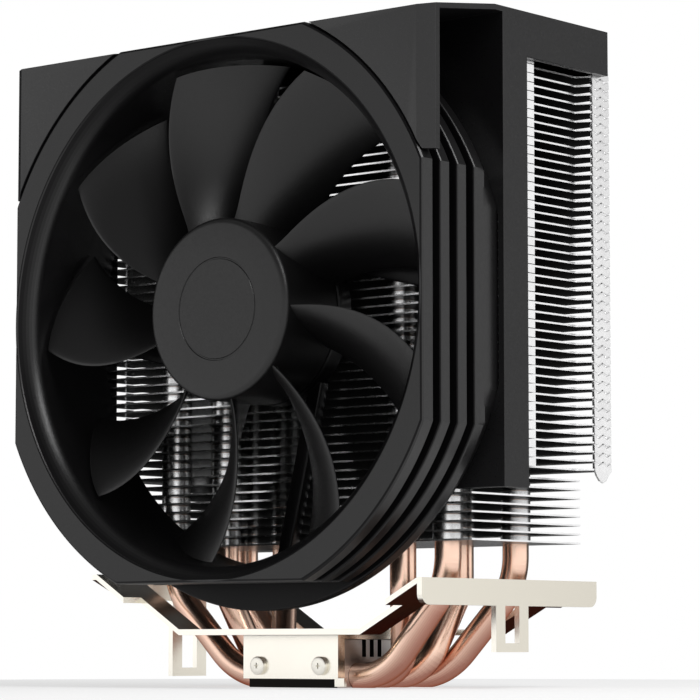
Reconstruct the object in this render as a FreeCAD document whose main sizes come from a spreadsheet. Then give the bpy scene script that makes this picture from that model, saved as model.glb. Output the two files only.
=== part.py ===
import FreeCAD, Part
import math
import os
import Sketcher

# CPU tower cooler. Millimetres, +Z up, +X to the right, the fan faces -Y.
# The origin is the centre of the base's contact face, which lies on Z = 0.

FAN = {
    "flange_half": 61.5,
    "corner_radius": 67.6,
    "flange_thickness": 3.9,
    "lip_radius": 60.8,
    "throat_radius": 57.8,
    "bell_depth": 5.0,
    "barrel_wall": 1.6,
    "barrel_start": 1.0,
    "axis_height": 85.0,
    "front_reach": 47.0,
    "fan_depth": 27.0,
    "fan_top": 60.0,
    "rib_start": 6.5,
    "rib_pitch": 5.9,
    "rib_thickness": 3.2,
    "ring_straight": 3.0,
    "ring_rear_radius": 64.4,
    "strut_width": 3.8,
    "strut_depth": 3.0,
    "strut_root_overlap": 1.0,
    "strut_tip_overlap": 0.6,
    "strut_start_angle": -52.3,
    "strut_sweep": 36.0,
    "strut_count": 4,
}
MOTOR = {
    "hub_radius": 20.7,
    "hub_recess": 3.1,
    "hub_length": 17.5,
    "hub_wall": 1.2,
    "hub_face": 1.6,
    "hub_edge": 1.4,
    "boss_radius": 3.2,
    "boss_length": 3.3,
    "blade_count": 9,
    "blade_tip_gap": 0.9,
    "blade_thickness": 1.4,
    "blade_front": 5.2,
    "blade_depth": 15.0,
    "blade_turn": 24.0,
    "blade_phase": 27.0,
    "blade_tip_lag": 13.0,
    "blade_camber": 0.1,
    "blade_depth_taper": 0.15,
    "blade_front_taper": 0.08,
    "yoke_wall": 0.9,
    "yoke_length": 14.5,
    "magnet_wall": 1.5,
    "magnet_length": 12.0,
    "magnet_setback": 1.0,
    "shaft_radius": 1.5,
    "shaft_end": 23.3,
    "shaft_chamfer": 0.4,
    "shaft_groove": 0.35,
    "ring_station": 20.3,
    "ring_thickness": 0.4,
    "ring_radius": 2.4,
    "bearing_radius": 3.0,
    "bearing_start": 9.0,
    "bearing_length": 11.0,
    "running_gap": 0.05,
    "tube_wall": 1.2,
    "tube_lead": 0.5,
    "pad_gap": 0.1,
    "stator_radius": 16.7,
    "stator_start": 9.4,
    "stator_length": 6.4,
    "tooth_width": 4.0,
    "shoe_depth": 1.6,
    "core_hub_radius": 6.6,
    "insulator_thickness": 0.8,
    "insulator_inset": 0.6,
    "coil_wall": 2.2,
    "coil_inner": 7.2,
    "coil_outer": 13.4,
    "coil_gap": 0.1,
    "coil_round": 0.8,
    "board_radius": 18.0,
    "board_station": 21.6,
    "board_thickness": 1.0,
    "board_clearance": 0.3,
    "chip_height": 1.2,
    "base_floor": 24.2,
    "base_end": 26.0,
    "base_rim": 21.3,
    "rim_wall": 1.5,
    "pin_radius": 0.35,
    "pin_circle": 14.6,
}
COVER = {
    "cover_half": 63.5,
    "cover_wall": 1.7,
    "cover_top": 149.5,
    "cover_front_top": 146.2,
    "top_wall": 1.3,
    "slope_length": 23.5,
    "cover_rear": 19.0,
    "corner_chamfer": 3.3,
    "corner_setback": 2.5,
    "corner_bottom": 115.0,
    "groove_gap": 0.4,
    "strip_front": 20.7,
    "strip_width": 8.8,
    "strip_bottom": 43.8,
    "duct_thickness": 1.5,
    "duct_radius": 64.6,
    "skirt_bottom": 139.3,
    "tab_notch_height": 1.7,
    "recess_gap": 0.3,
}
FINS = {
    "fin_thickness": 0.4,
    "fin_pitch": 2.04,
    "lowest_fin": 32.6,
    "lower_count": 8,
    "upper_count": 45,
    "fin_half": 61.5,
    "fin_waist": 58.2,
    "fin_front": 19.0,
    "fin_chamfer": 2.5,
    "fin_rear": 21.6,
    "tab_front": 9.4,
    "tab_width": 2.6,
    "waist_rear": 13.6,
    "rear_tab_front": 15.2,
    "lower_half": 53.0,
    "tab_gap": 0.18,
    "collar_wall": 0.4,
    "collar_height": 1.95,
    "fit_gap": 0.03,
}
PIPES = {
    "pipe_radius": 3.0,
    "pipe_bore": 2.4,
    "wick_wall": 0.5,
    "pipe_base_height": 2.65,
    "pipe_base_pitch": 7.0,
    "outer_leg_x": 41.3,
    "outer_leg_y": 12.5,
    "outer_knee_z": 23.2,
    "outer_foot_x": 22.3,
    "outer_bend": 17.0,
    "inner_leg_x": 26.9,
    "inner_leg_y": 10.6,
    "inner_knee_z": 22.5,
    "inner_foot_x": 21.4,
    "inner_bend": 9.5,
    "pipe_top": 142.5,
    "pipe_tip_length": 3.0,
    "pipe_tip_radius": 1.2,
    "pipe_cap": 1.0,
    "wick_end_gap": 2.0,
}
BASE = {
    "block_half_x": 13.3,
    "block_half_y": 17.5,
    "block_height": 11.0,
    "slot_width": 1.4,
    "slot_pitch": 2.8,
    "slot_centre": 5.2,
    "slot_bottom": 7.0,
    "slot_depth": 1.2,
    "saddle_sheet": 1.0,
    "saddle_bottom": 2.0,
    "return_depth": 2.5,
    "foot_bottom": 0.3,
    "foot_reach": 1.8,
    "screw_x": 9.3,
    "screw_z": 5.0,
    "screw_head_radius": 2.1,
    "screw_head_height": 1.5,
    "screw_radius": 1.2,
    "screw_end_gap": 0.2,
    "screw_length": 3.9,
    "cross_width": 0.6,
    "cross_length": 2.6,
    "cross_depth": 0.9,
}
CLIP = {
    "clip_sheet": 1.35,
    "bar_half": 27.3,
    "bar_front": 26.5,
    "bar_inner": 19.0,
    "clip_half": 49.7,
    "flange_reach": 32.4,
    "flange_height": 5.9,
    "right_flange_top": 24.3,
    "left_flange_top": 26.3,
    "arm_step": 39.5,
    "flange_round": 2.4,
    "flange_slant_length": 10.5,
    "flange_slant_rise": 4.6,
    "loop_half": 6.0,
    "loop_hole_half": 2.6,
    "loop_rail": 2.0,
    "right_loop_bottom": 8.1,
    "left_loop_bottom": 2.3,
    "rivet_x": 9.0,
    "rivet_y": 10.0,
    "rivet_radius": 1.5,
    "rivet_head_radius": 2.4,
    "rivet_head_height": 0.8,
}

# Along the chord from the leading edge to the trailing one: where, and the share of full thickness.
BLADE_SECTION = ((-1.0, 0.25), (-0.4, 1.0), (0.3, 0.8), (1.0, 0.25))
BLADE_STATIONS = (0.0, 0.33, 0.67, 1.0)
# X, Z above the axis, length and height of each component on the motor's board.
BOARD_PARTS = ((7, 7, 5, 4), (-12, 5, 5, 3), (-9, -10, 4, 3))
# Longer than anything that a trimming solid has to pass through.
BEYOND = 200.0

Y_AXIS_TURN = FreeCAD.Rotation(FreeCAD.Vector(1, 0, 0), -90)
doc = FreeCAD.newDocument("tower_cooler")
sheet = doc.addObject("Spreadsheet::Sheet", "Sizes")
nodes = []


def fill_sheet():
    """One row per driving dimension: its name, and its value under the same alias."""
    row = 1
    for group in (FAN, MOTOR, COVER, FINS, PIPES, BASE, CLIP):
        for name, value in group.items():
            sheet.set("A%d" % row, name)
            sheet.set("B%d" % row, str(value))
            sheet.setAlias("B%d" % row, name)
            row += 1
    doc.recompute()


def size(name):
    return float(sheet.get(name))


def expand(text):
    """Turn 'flange_half * 2' into an expression on the sheet's aliases."""
    words = []
    for word in text.replace("(", " ( ").replace(")", " ) ").split():
        words.append("Sizes." + word if word[0].isalpha() else word)
    return " ".join(words)


def value(text):
    return float(sheet.evalExpression(expand(text)))


def bind(obj, **expressions):
    for path, text in expressions.items():
        obj.setExpression(path, expand(text))
    return obj


def place(obj, x="0", y="0", z="0"):
    obj.setExpression("Placement.Base.x", expand(x))
    obj.setExpression("Placement.Base.y", expand(y))
    obj.setExpression("Placement.Base.z", expand(z))
    return obj


def box(name, x_range, y_range, z_range):
    """A box between three pairs of expressions."""
    obj = doc.addObject("Part::Box", name)
    bind(obj, Length="( %s ) - ( %s )" % (x_range[1], x_range[0]),
         Width="( %s ) - ( %s )" % (y_range[1], y_range[0]),
         Height="( %s ) - ( %s )" % (z_range[1], z_range[0]))
    return place(obj, x_range[0], y_range[0], z_range[0])


def fan_station(station):
    """The Y of a point this far behind the fan's front face."""
    return "( %s ) - front_reach" % station


def disc(name, radius, start, end):
    """A cylinder on the fan's axis between two stations behind its front face."""
    obj = doc.addObject("Part::Cylinder", name)
    obj.Placement.Rotation = Y_AXIS_TURN
    bind(obj, Radius=radius, Height="( %s ) - ( %s )" % (end, start))
    return place(obj, "0", fan_station(start), "axis_height")


def cone(name, start_radius, end_radius, start, end):
    obj = doc.addObject("Part::Cone", name)
    obj.Placement.Rotation = Y_AXIS_TURN
    bind(obj, Radius1=start_radius, Radius2=end_radius, Height="( %s ) - ( %s )" % (end, start))
    return place(obj, "0", fan_station(start), "axis_height")


def cut(name, base, tool):
    obj = doc.addObject("Part::Cut", name)
    obj.Base = base
    obj.Tool = tool
    return obj


def common(name, first, second):
    obj = doc.addObject("Part::Common", name)
    obj.Base = first
    obj.Tool = second
    return obj


def fuse(name, shapes):
    obj = doc.addObject("Part::MultiFuse", name)
    obj.Shapes = shapes
    obj.Refine = True
    return obj


def feature(name, shape):
    obj = doc.addObject("Part::Feature", name)
    obj.Shape = shape
    return obj


def node(obj, label):
    obj.Label = label
    nodes.append(obj)
    return obj


def body(name):
    return doc.addObject("PartDesign::Body", name)


def plane(part, role):
    return [item for item in part.Origin.OriginFeatures if item.Role == role][0]


def sketch(part, name, role, offset="0"):
    """An empty sketch on one of the body's origin planes, moved along its normal."""
    obj = part.newObject("Sketcher::SketchObject", name)
    obj.AttachmentSupport = (plane(part, role), [""])
    obj.MapMode = "FlatFace"
    obj.setExpression("AttachmentOffset.Base.z", expand(offset))
    return obj


def draw_polygon(target, corners):
    """Closed outline whose corner coordinates are expressions on the sheet."""
    first = target.GeometryCount
    points = [FreeCAD.Vector(value(x), value(y), 0) for x, y in corners]
    count = len(points)
    for index in range(count):
        target.addGeometry(Part.LineSegment(points[index], points[(index + 1) % count]), False)
    for index in range(count):
        following = first + (index + 1) % count
        target.addConstraint(Sketcher.Constraint("Coincident", first + index, 2, following, 1))
    for index, (x, y) in enumerate(corners):
        for kind, text in (("DistanceX", x), ("DistanceY", y)):
            rule = Sketcher.Constraint(kind, -1, 1, first + index, 1, value(text))
            number = target.addConstraint(rule)
            target.setExpression("Constraints[%d]" % number, expand(text))


def draw_circle(target, x, y, radius):
    centre = FreeCAD.Vector(value(x), value(y), 0)
    normal = FreeCAD.Vector(0, 0, 1)
    index = target.addGeometry(Part.Circle(centre, normal, value(radius)), False)
    number = target.addConstraint(Sketcher.Constraint("Radius", index, value(radius)))
    target.setExpression("Constraints[%d]" % number, expand(radius))
    for kind, text in (("DistanceX", x), ("DistanceY", y)):
        rule = Sketcher.Constraint(kind, -1, 1, index, 3, value(text))
        number = target.addConstraint(rule)
        target.setExpression("Constraints[%d]" % number, expand(text))


def pad(part, name, profile, length, reverse=False, midplane=False):
    obj = part.newObject("PartDesign::Pad", name)
    obj.Profile = profile
    obj.Reversed = reverse
    obj.Midplane = midplane
    bind(obj, Length=length)
    return obj


def revolve(part, name, corners):
    """Turn an outline of (station, radius) corners about the fan's axis."""
    profile = sketch(part, name + "_outline", "YZ_Plane")
    draw_polygon(profile, [(fan_station(station), "axis_height + ( %s )" % radius)
                           for station, radius in corners])
    axis = profile.addGeometry(Part.LineSegment(FreeCAD.Vector(-50, size("axis_height"), 0),
                                                FreeCAD.Vector(0, size("axis_height"), 0)), True)
    pin_axis(profile, axis)
    obj = part.newObject("PartDesign::Revolution", name)
    obj.Profile = profile
    obj.ReferenceAxis = (profile, ["Axis0"])
    obj.Angle = 360
    return obj


def pin_axis(profile, line):
    """Hold the construction line level at the height of the fan's axis."""
    profile.addConstraint(Sketcher.Constraint("Horizontal", line))
    for end, reach in ((1, -50.0), (2, 0.0)):
        profile.addConstraint(Sketcher.Constraint("DistanceX", -1, 1, line, end, reach))
    rule = Sketcher.Constraint("DistanceY", -1, 1, line, 1, size("axis_height"))
    number = profile.addConstraint(rule)
    profile.setExpression("Constraints[%d]" % number, expand("axis_height"))


# ---------------------------------------------------------------- fan frame


def outline_slab(name, start, end, top, bottom):
    """A slab of the frame's outline: a disc cut off by flats at its sides."""
    round_slab = disc(name + "_disc", "corner_radius", start, end)
    flats = box(name + "_flats", ("0 - flange_half", "flange_half"),
                (fan_station(start), fan_station(end)),
                ("axis_height - ( %s )" % bottom, "axis_height + ( %s )" % top))
    return common(name, round_slab, flats)


def rear_ring():
    """The deep ring behind the ribs: round at the bottom and tapering to the rear."""
    start = "rib_start + 2 * rib_pitch"
    bend = start + " + ring_straight"
    straight = disc("ring_straight_part", "corner_radius", start, bend)
    taper = cone("ring_taper", "corner_radius", "ring_rear_radius", bend, "fan_depth")
    whole = fuse("ring_round", [straight, taper])
    flats = box("ring_flats", ("0 - flange_half", "flange_half"),
                (fan_station(start), fan_station("fan_depth")),
                ("axis_height - corner_radius - 1", "axis_height + fan_top"))
    return common("ring_cut", whole, flats)


def strut_bar(start_angle):
    """One straight strut from the motor base to the barrel, swept against the rotation."""
    inner = math.radians(start_angle)
    outer = math.radians(start_angle - size("strut_sweep"))
    inner_radius = size("hub_radius") - size("strut_root_overlap")
    outer_radius = size("throat_radius") + size("strut_tip_overlap")
    start = FreeCAD.Vector(inner_radius * math.cos(inner), 0, inner_radius * math.sin(inner))
    end = FreeCAD.Vector(outer_radius * math.cos(outer), 0, outer_radius * math.sin(outer))
    run = end - start
    bar = Part.makeBox(run.Length, size("strut_depth"), size("strut_width"))
    bar.translate(FreeCAD.Vector(0, 0, -size("strut_width") / 2))
    bar.rotate(FreeCAD.Vector(0, 0, 0), FreeCAD.Vector(0, 1, 0), -math.degrees(math.atan2(run.z, run.x)))
    bar.translate(start + FreeCAD.Vector(0, size("base_end") - size("strut_depth") - size("front_reach"),
                                         size("axis_height")))
    return bar


def fan_frame():
    flange = outline_slab("flange", "0", "flange_thickness", "flange_half", "flange_half")
    first_rib = outline_slab("rib_one", "rib_start", "rib_start + rib_thickness", "fan_top", "flange_half")
    second_start = "rib_start + rib_pitch"
    second_rib = outline_slab("rib_two", second_start, second_start + " + rib_thickness",
                              "fan_top", "flange_half")
    barrel = disc("barrel", "throat_radius + barrel_wall", "barrel_start", "fan_depth")
    outside = fuse("frame_outside", [flange, first_rib, second_rib, rear_ring(), barrel])
    bore = disc("bore", "throat_radius", "0", "fan_depth")
    bell = cone("bell", "lip_radius", "throat_radius", "0", "bell_depth")
    shell = cut("frame_shell", outside, fuse("frame_bore", [bore, bell]))
    motor_base = disc("motor_base", "hub_radius", "base_rim", "base_end")
    pocket = disc("motor_pocket", "hub_radius - rim_wall", "base_rim", "base_floor")
    step = 360.0 / size("strut_count")
    angles = [size("strut_start_angle") + step * number for number in range(int(size("strut_count")))]
    struts = feature("struts", Part.makeCompound([strut_bar(angle) for angle in angles]))
    spider = fuse("motor_spider", [motor_base, struts])
    whole = fuse("frame_whole", [shell, cut("spider_cut", spider, pocket)])
    return node(whole, "fan_frame")


# ---------------------------------------------------------------- rotor


def blade_section(radius, middle_angle, turn, front, depth):
    """A thin cambered section in the plane that faces outward at this radius."""
    middle = math.radians(middle_angle)
    outward = FreeCAD.Vector(math.cos(middle), 0, math.sin(middle))
    across = FreeCAD.Vector(math.sin(middle), 0, -math.cos(middle))
    half_chord = radius * math.sin(math.radians(turn) / 2)
    camber = size("blade_camber") * depth
    front_side = []
    rear_side = []
    for along, thick in BLADE_SECTION:
        spot = outward * radius + across * (along * half_chord)
        y = front + depth * (along + 1) / 2 + camber * (along * along - 1)
        rise = size("blade_thickness") * thick / 2
        front_side.append(spot + FreeCAD.Vector(0, y - rise, 0))
        rear_side.append(spot + FreeCAD.Vector(0, y + rise, 0))
    front_curve = Part.BSplineCurve()
    front_curve.interpolate(front_side)
    rear_curve = Part.BSplineCurve()
    rear_curve.interpolate(list(reversed(rear_side)))
    return Part.Wire([front_curve.toShape(), Part.makeLine(front_side[-1], rear_side[-1]),
                      rear_curve.toShape(), Part.makeLine(rear_side[0], front_side[0])])


def blade(angle):
    """One blade lofted from inside the hub outwards, its tip trimmed round."""
    root = size("hub_radius") - size("hub_wall")
    tip = size("throat_radius") - size("blade_tip_gap")
    sections = []
    for share in BLADE_STATIONS:
        depth = size("blade_depth") * (1 - size("blade_depth_taper") * share)
        front = size("blade_front") + size("blade_depth") * size("blade_front_taper") * share
        lag = size("blade_tip_lag") * share * share
        radius = root + (tip - root) * share
        sections.append(blade_section(radius, angle - lag, size("blade_turn"), front, depth))
    limit = Part.makeCylinder(tip, BEYOND, FreeCAD.Vector(0, -BEYOND / 2, 0), FreeCAD.Vector(0, 1, 0))
    shape = Part.makeLoft(sections, True, False).common(limit)
    shape.translate(FreeCAD.Vector(0, -size("front_reach"), size("axis_height")))
    return shape


def rotor_shell():
    hub = body("hub")
    face = "hub_recess"
    revolve(hub, "hub_turned", [
        (face, "0"), (face, "hub_radius - hub_edge"), (face + " + hub_edge", "hub_radius"),
        ("hub_recess + hub_length", "hub_radius"), ("hub_recess + hub_length", "hub_radius - hub_wall"),
        (face + " + hub_face", "hub_radius - hub_wall"), (face + " + hub_face", "boss_radius"),
        (face + " + hub_face + boss_length", "boss_radius"),
        (face + " + hub_face + boss_length", "shaft_radius"),
        (face + " + hub_face", "shaft_radius"), (face + " + hub_face", "0")])
    doc.recompute()
    step = 360.0 / size("blade_count")
    first = size("blade_phase")
    blades = [blade(first + step * number) for number in range(int(size("blade_count")))]
    shape = hub.Shape.copy().fuse(blades)
    return node(feature("rotor_shell_shape", shape.removeSplitter()), "rotor_shell")


def rotor_yoke():
    part = body("yoke")
    start = "hub_recess + hub_face + fit_gap"
    outer = "hub_radius - hub_wall - fit_gap"
    revolve(part, "yoke_turned", [
        (start, "boss_radius + fit_gap"), (start, outer), (start + " + yoke_length", outer),
        (start + " + yoke_length", outer + " - yoke_wall"),
        (start + " + yoke_wall", outer + " - yoke_wall"),
        (start + " + yoke_wall", "boss_radius + fit_gap")])
    return node(part, "rotor_yoke")


def rotor_magnet():
    outer = "hub_radius - hub_wall - 2 * fit_gap - yoke_wall"
    start = "hub_recess + hub_face + yoke_wall + magnet_setback"
    ring = disc("magnet_ring", outer, start, start + " + magnet_length")
    hole = disc("magnet_hole", outer + " - magnet_wall", start, start + " + magnet_length")
    return node(cut("magnet", ring, hole), "rotor_magnet")


def rotor_shaft():
    part = body("shaft")
    start = "hub_recess + hub_face"
    groove = "ring_station - fit_gap"
    groove_end = "ring_station + ring_thickness + fit_gap"
    neck = "shaft_radius - shaft_groove"
    revolve(part, "shaft_turned", [
        (start, "0"), (start, "shaft_radius"), (groove, "shaft_radius"), (groove, neck),
        (groove_end, neck), (groove_end, "shaft_radius"),
        ("shaft_end - shaft_chamfer", "shaft_radius"), ("shaft_end", "shaft_radius - shaft_chamfer"),
        ("shaft_end", "0")])
    return node(part, "rotor_shaft")


def retaining_ring():
    end = "ring_station + ring_thickness"
    ring = disc("retainer_disc", "ring_radius", "ring_station", end)
    hole = disc("retainer_hole", "shaft_radius - shaft_groove + fit_gap", "ring_station", end)
    return node(cut("retainer", ring, hole), "retaining_ring")


# ---------------------------------------------------------------- motor, still parts


def bearing_pieces():
    tube_start = "bearing_start - tube_lead"
    tube = disc("tube_outer", "bearing_radius + tube_wall", tube_start, "base_floor")
    bore = disc("tube_bore", "bearing_radius + fit_gap", tube_start, "base_floor")
    node(cut("tube", tube, bore), "bearing_tube")
    end = "bearing_start + bearing_length"
    sleeve = disc("sleeve_outer", "bearing_radius", "bearing_start", end)
    hole = disc("sleeve_bore", "shaft_radius + running_gap", "bearing_start", end)
    node(cut("sleeve", sleeve, hole), "bearing_sleeve")
    node(disc("pad_disc", "bearing_radius - pad_gap", "shaft_end + pad_gap", "base_floor - fit_gap"),
         "thrust_pad")


def cross_plate(name, start, end, radius):
    """A four-toothed plate: a hub, four radial teeth and a pole shoe on each tooth."""
    hub = disc(name + "_hub", "core_hub_radius", start, end)
    teeth = []
    for number, (x_range, z_range) in enumerate((
            (("0 - %s" % radius, radius), ("0 - tooth_width / 2", "tooth_width / 2")),
            (("0 - tooth_width / 2", "tooth_width / 2"), ("0 - %s" % radius, radius)))):
        z_pair = tuple("axis_height + ( %s )" % text for text in z_range)
        teeth.append(box("%s_tooth_%d" % (name, number), x_range,
                         (fan_station(start), fan_station(end)), z_pair))
    shoe_ring = cut(name + "_shoes", disc(name + "_rim", radius, start, end),
                    disc(name + "_rim_hole", radius + " - shoe_depth", start, end))
    slots = []
    for number, angle in enumerate((45, 135)):
        slot = box("%s_slot_%d" % (name, number), ("0 - stator_radius - 1", "stator_radius + 1"),
                   (fan_station(start), fan_station(end)),
                   ("axis_height - tooth_width", "axis_height + tooth_width"))
        turned = feature("%s_slot_turned_%d" % (name, number), Part.Shape())
        slots.append((slot, turned, angle))
    doc.recompute()
    for slot, turned, angle in slots:
        shape = slot.Shape.copy()
        centre = FreeCAD.Vector(0, 0, size("axis_height"))
        shape.rotate(centre, FreeCAD.Vector(0, 1, 0), angle)
        turned.Shape = shape
    gaps = fuse(name + "_gaps", [turned for slot, turned, angle in slots])
    shoes = cut(name + "_shoes_open", shoe_ring, gaps)
    whole = fuse(name + "_cross", [hub] + teeth + [shoes])
    round_limit = disc(name + "_limit", radius, start, end)
    trimmed = common(name + "_round", whole, round_limit)
    hole = disc(name + "_centre", "bearing_radius + tube_wall + fit_gap", start, end)
    return cut(name, trimmed, hole)


def stator_pieces():
    start = "stator_start"
    end = "stator_start + stator_length"
    node(cross_plate("core", start, end, "stator_radius"), "stator_core")
    radius = "stator_radius - insulator_inset"
    front = cross_plate("insulator_front", start + " - insulator_thickness", start, radius)
    rear = cross_plate("insulator_rear", end, end + " + insulator_thickness", radius)
    doc.recompute()
    node(feature("insulators", Part.makeCompound([front.Shape, rear.Shape])), "stator_insulators")


def stator_coils():
    """Four windings, one round each tooth and its insulators."""
    gap = size("coil_gap")
    length = size("coil_outer") - size("coil_inner")
    inner_y = size("stator_length") + 2 * size("insulator_thickness") + 2 * gap
    inner_z = size("tooth_width") + 2 * gap
    wall = size("coil_wall")
    outside = Part.makeBox(length, inner_y + wall, inner_z + 2 * wall)
    outside.translate(FreeCAD.Vector(size("coil_inner"), -(inner_y + wall) / 2, -inner_z / 2 - wall))
    outside = outside.makeFillet(size("coil_round"), [edge for edge in outside.Edges
                                                       if edge.BoundBox.XLength > length / 2])
    inside = Part.makeBox(length, inner_y, inner_z)
    inside.translate(FreeCAD.Vector(size("coil_inner"), -inner_y / 2, -inner_z / 2))
    coil = outside.cut(inside)
    middle = size("stator_start") + size("stator_length") / 2 - size("front_reach")
    coils = []
    for angle in (0, 90, 180, 270):
        turned = coil.copy()
        turned.rotate(FreeCAD.Vector(0, 0, 0), FreeCAD.Vector(0, 1, 0), angle)
        turned.translate(FreeCAD.Vector(0, middle, size("axis_height")))
        coils.append(turned)
    return node(feature("coils", Part.makeCompound(coils)), "stator_coils")


def winding_pins():
    """Four terminal pins from the rear insulator to the circuit board."""
    start = size("stator_start") + size("stator_length") + size("insulator_thickness")
    end = size("board_station")
    pins = []
    for angle in (0, 90, 180, 270):
        turn = math.radians(angle)
        x = size("pin_circle") * math.cos(turn)
        z = size("axis_height") + size("pin_circle") * math.sin(turn)
        foot = FreeCAD.Vector(x, start - size("front_reach"), z)
        pins.append(Part.makeCylinder(size("pin_radius"), end - start, foot, FreeCAD.Vector(0, 1, 0)))
    return node(feature("pins", Part.makeCompound(pins)), "winding_pins")


def motor_board():
    end = "board_station + board_thickness"
    plate = disc("board_disc", "board_radius", "board_station", end)
    hole = disc("board_hole", "bearing_radius + tube_wall + board_clearance", "board_station", end)
    node(cut("board", plate, hole), "motor_board")
    chips = []
    for number, (x, z, length, height) in enumerate(BOARD_PARTS):
        middle = "axis_height + ( %g )" % z
        chips.append(box("chip_%d" % number, ("%g" % x, "%g" % (x + length)),
                         (fan_station(end), fan_station(end + " + chip_height")),
                         (middle, middle + " + %g" % height)))
    doc.recompute()
    node(feature("chips", Part.makeCompound([chip.Shape for chip in chips])), "board_components")


# ---------------------------------------------------------------- cover


def shroud():
    part = body("cover_top")
    profile = sketch(part, "top_profile", "YZ_Plane")
    bend = "slope_length - front_reach"
    draw_polygon(profile, [
        ("0 - front_reach", "cover_front_top"), (bend, "cover_top"), ("cover_rear", "cover_top"),
        ("cover_rear", "cover_top - top_wall"), (bend, "cover_top - top_wall"),
        ("0 - front_reach", "cover_front_top - top_wall")])
    pad(part, "top_pad", profile, "2 * cover_half", midplane=True)

    corners = body("cover_corners")
    footprint = sketch(corners, "corner_footprint", "XY_Plane", "corner_bottom")
    rear = "flange_thickness - front_reach"
    set_back = "corner_setback - front_reach"
    draw_polygon(footprint, [
        ("0 - cover_half + corner_chamfer", "0 - front_reach"),
        ("cover_half - corner_chamfer", "0 - front_reach"), ("cover_half", set_back),
        ("cover_half", rear), ("0 - cover_half", rear), ("0 - cover_half", set_back)])
    pad(corners, "corner_pad", footprint, "cover_front_top - corner_bottom")

    duct = box("duct_plate", ("0 - cover_half + cover_wall", "cover_half - cover_wall"),
               ("0 - strip_front", "0 - strip_front + duct_thickness"),
               ("strip_bottom", "cover_top - top_wall"))
    duct_hole = disc("duct_hole", "duct_radius", "front_reach - strip_front",
                     "front_reach - strip_front + duct_thickness")
    walls = [part, corners, cut("duct", duct, duct_hole)]
    for side, (near, far) in (("left", ("0 - cover_half", "0 - cover_half + cover_wall")),
                              ("right", ("cover_half - cover_wall", "cover_half"))):
        walls.append(box("strip_" + side, (near, far),
                         ("0 - strip_front", "0 - strip_front + strip_width"),
                         ("strip_bottom", "cover_top")))
        walls.append(box("skirt_" + side, (near, far),
                         ("0 - strip_front", "cover_rear"), ("skirt_bottom", "cover_top")))
    walls.append(box("skirt_rear", ("0 - cover_half", "cover_half"),
                     ("cover_rear - cover_wall", "cover_rear"), ("skirt_bottom", "cover_top")))
    whole = fuse("cover_walls", walls)
    recess = disc("fan_recess", "corner_radius + groove_gap", "0 - 1", "flange_thickness + recess_gap")
    trims = [recess] + chamfer_trims()
    for side, x_range in (("left", ("0 - cover_half + cover_wall", "0 - fin_half + cover_wall")),
                          ("right", ("fin_half - cover_wall", "cover_half - cover_wall"))):
        trims.append(box("tab_notch_" + side, x_range, ("cover_rear - 2 * cover_wall", "cover_rear"),
                         ("skirt_bottom", "skirt_bottom + tab_notch_height")))
    return node(cut("cover", whole, fuse("cover_trims", trims)), "shroud")


def chamfer_trims():
    """Wedges that carry the corner chamfer through the top wall."""
    trims = []
    for side, sign in (("left", "0 - "), ("right", "")):
        wedge = body("trim_" + side)
        outline = sketch(wedge, "trim_outline_" + side, "XY_Plane", "corner_bottom - 1")
        inner = "%s( cover_half - corner_chamfer )" % sign
        outer = "%s( cover_half + 1 )" % sign
        edge = "%scover_half" % sign
        set_back = "corner_setback - front_reach"
        draw_polygon(outline, [(inner, "0 - front_reach"), (inner, "0 - front_reach - 1"),
                               (outer, "0 - front_reach - 1"), (outer, set_back), (edge, set_back)])
        pad(wedge, "trim_pad_" + side, outline, "cover_top - corner_bottom + 2")
        trims.append(wedge)
    return trims


# ---------------------------------------------------------------- fins


def pipe_spots():
    spots = []
    for x, y in (("outer_leg_x", "outer_leg_y"), ("inner_leg_x", "inner_leg_y")):
        for x_sign in ("", "0 - "):
            for y_sign in ("", "0 - "):
                spots.append((x_sign + x, y_sign + y))
    return spots


def mirrored(right_side):
    """Close an outline from the corners of its right half, front to rear."""
    left_side = [("0 - ( %s )" % x, y) for x, y in reversed(right_side)]
    return right_side + left_side


def fin_plate(name, right_side, tabs):
    """One fin at Z = 0: a plate with collared pipe holes and folded side tabs."""
    part = body(name)
    outline = sketch(part, name + "_outline", "XY_Plane")
    draw_polygon(outline, mirrored(right_side))
    pad(part, name + "_sheet", outline, "fin_thickness")
    for number, (y_front, y_rear) in enumerate(tabs):
        for side, sign in (("left", "0 - "), ("right", "")):
            tab = sketch(part, "%s_tab_%d_%s" % (name, number, side), "XY_Plane")
            outer = sign + "fin_half"
            inner = "%s( fin_half - fin_thickness )" % sign
            draw_polygon(tab, [(outer, y_front), (outer, y_rear), (inner, y_rear), (inner, y_front)])
            pad(part, "%s_tab_pad_%d_%s" % (name, number, side), tab, "fin_pitch - tab_gap")
    collars = sketch(part, name + "_collars", "XY_Plane")
    for x, y in pipe_spots():
        draw_circle(collars, x, y, "pipe_radius + fit_gap + collar_wall")
    pad(part, name + "_collar_pad", collars, "collar_height")
    holes = sketch(part, name + "_holes", "XY_Plane")
    for x, y in pipe_spots():
        draw_circle(holes, x, y, "pipe_radius + fit_gap")
    pocket = part.newObject("PartDesign::Pocket", name + "_hole_pocket")
    pocket.Profile = holes
    pocket.Type = "ThroughAll"
    pocket.Reversed = True
    doc.recompute()
    return part


def fin_stack(label, plate, count, first):
    """Identical fins, each a separate solid, one pitch apart."""
    copies = []
    for number in range(count):
        copy = plate.Shape.copy()
        copy.translate(FreeCAD.Vector(0, 0, first + size("fin_pitch") * number))
        copies.append(copy)
    return node(feature(label + "_stack", Part.makeCompound(copies)), label)


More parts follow.
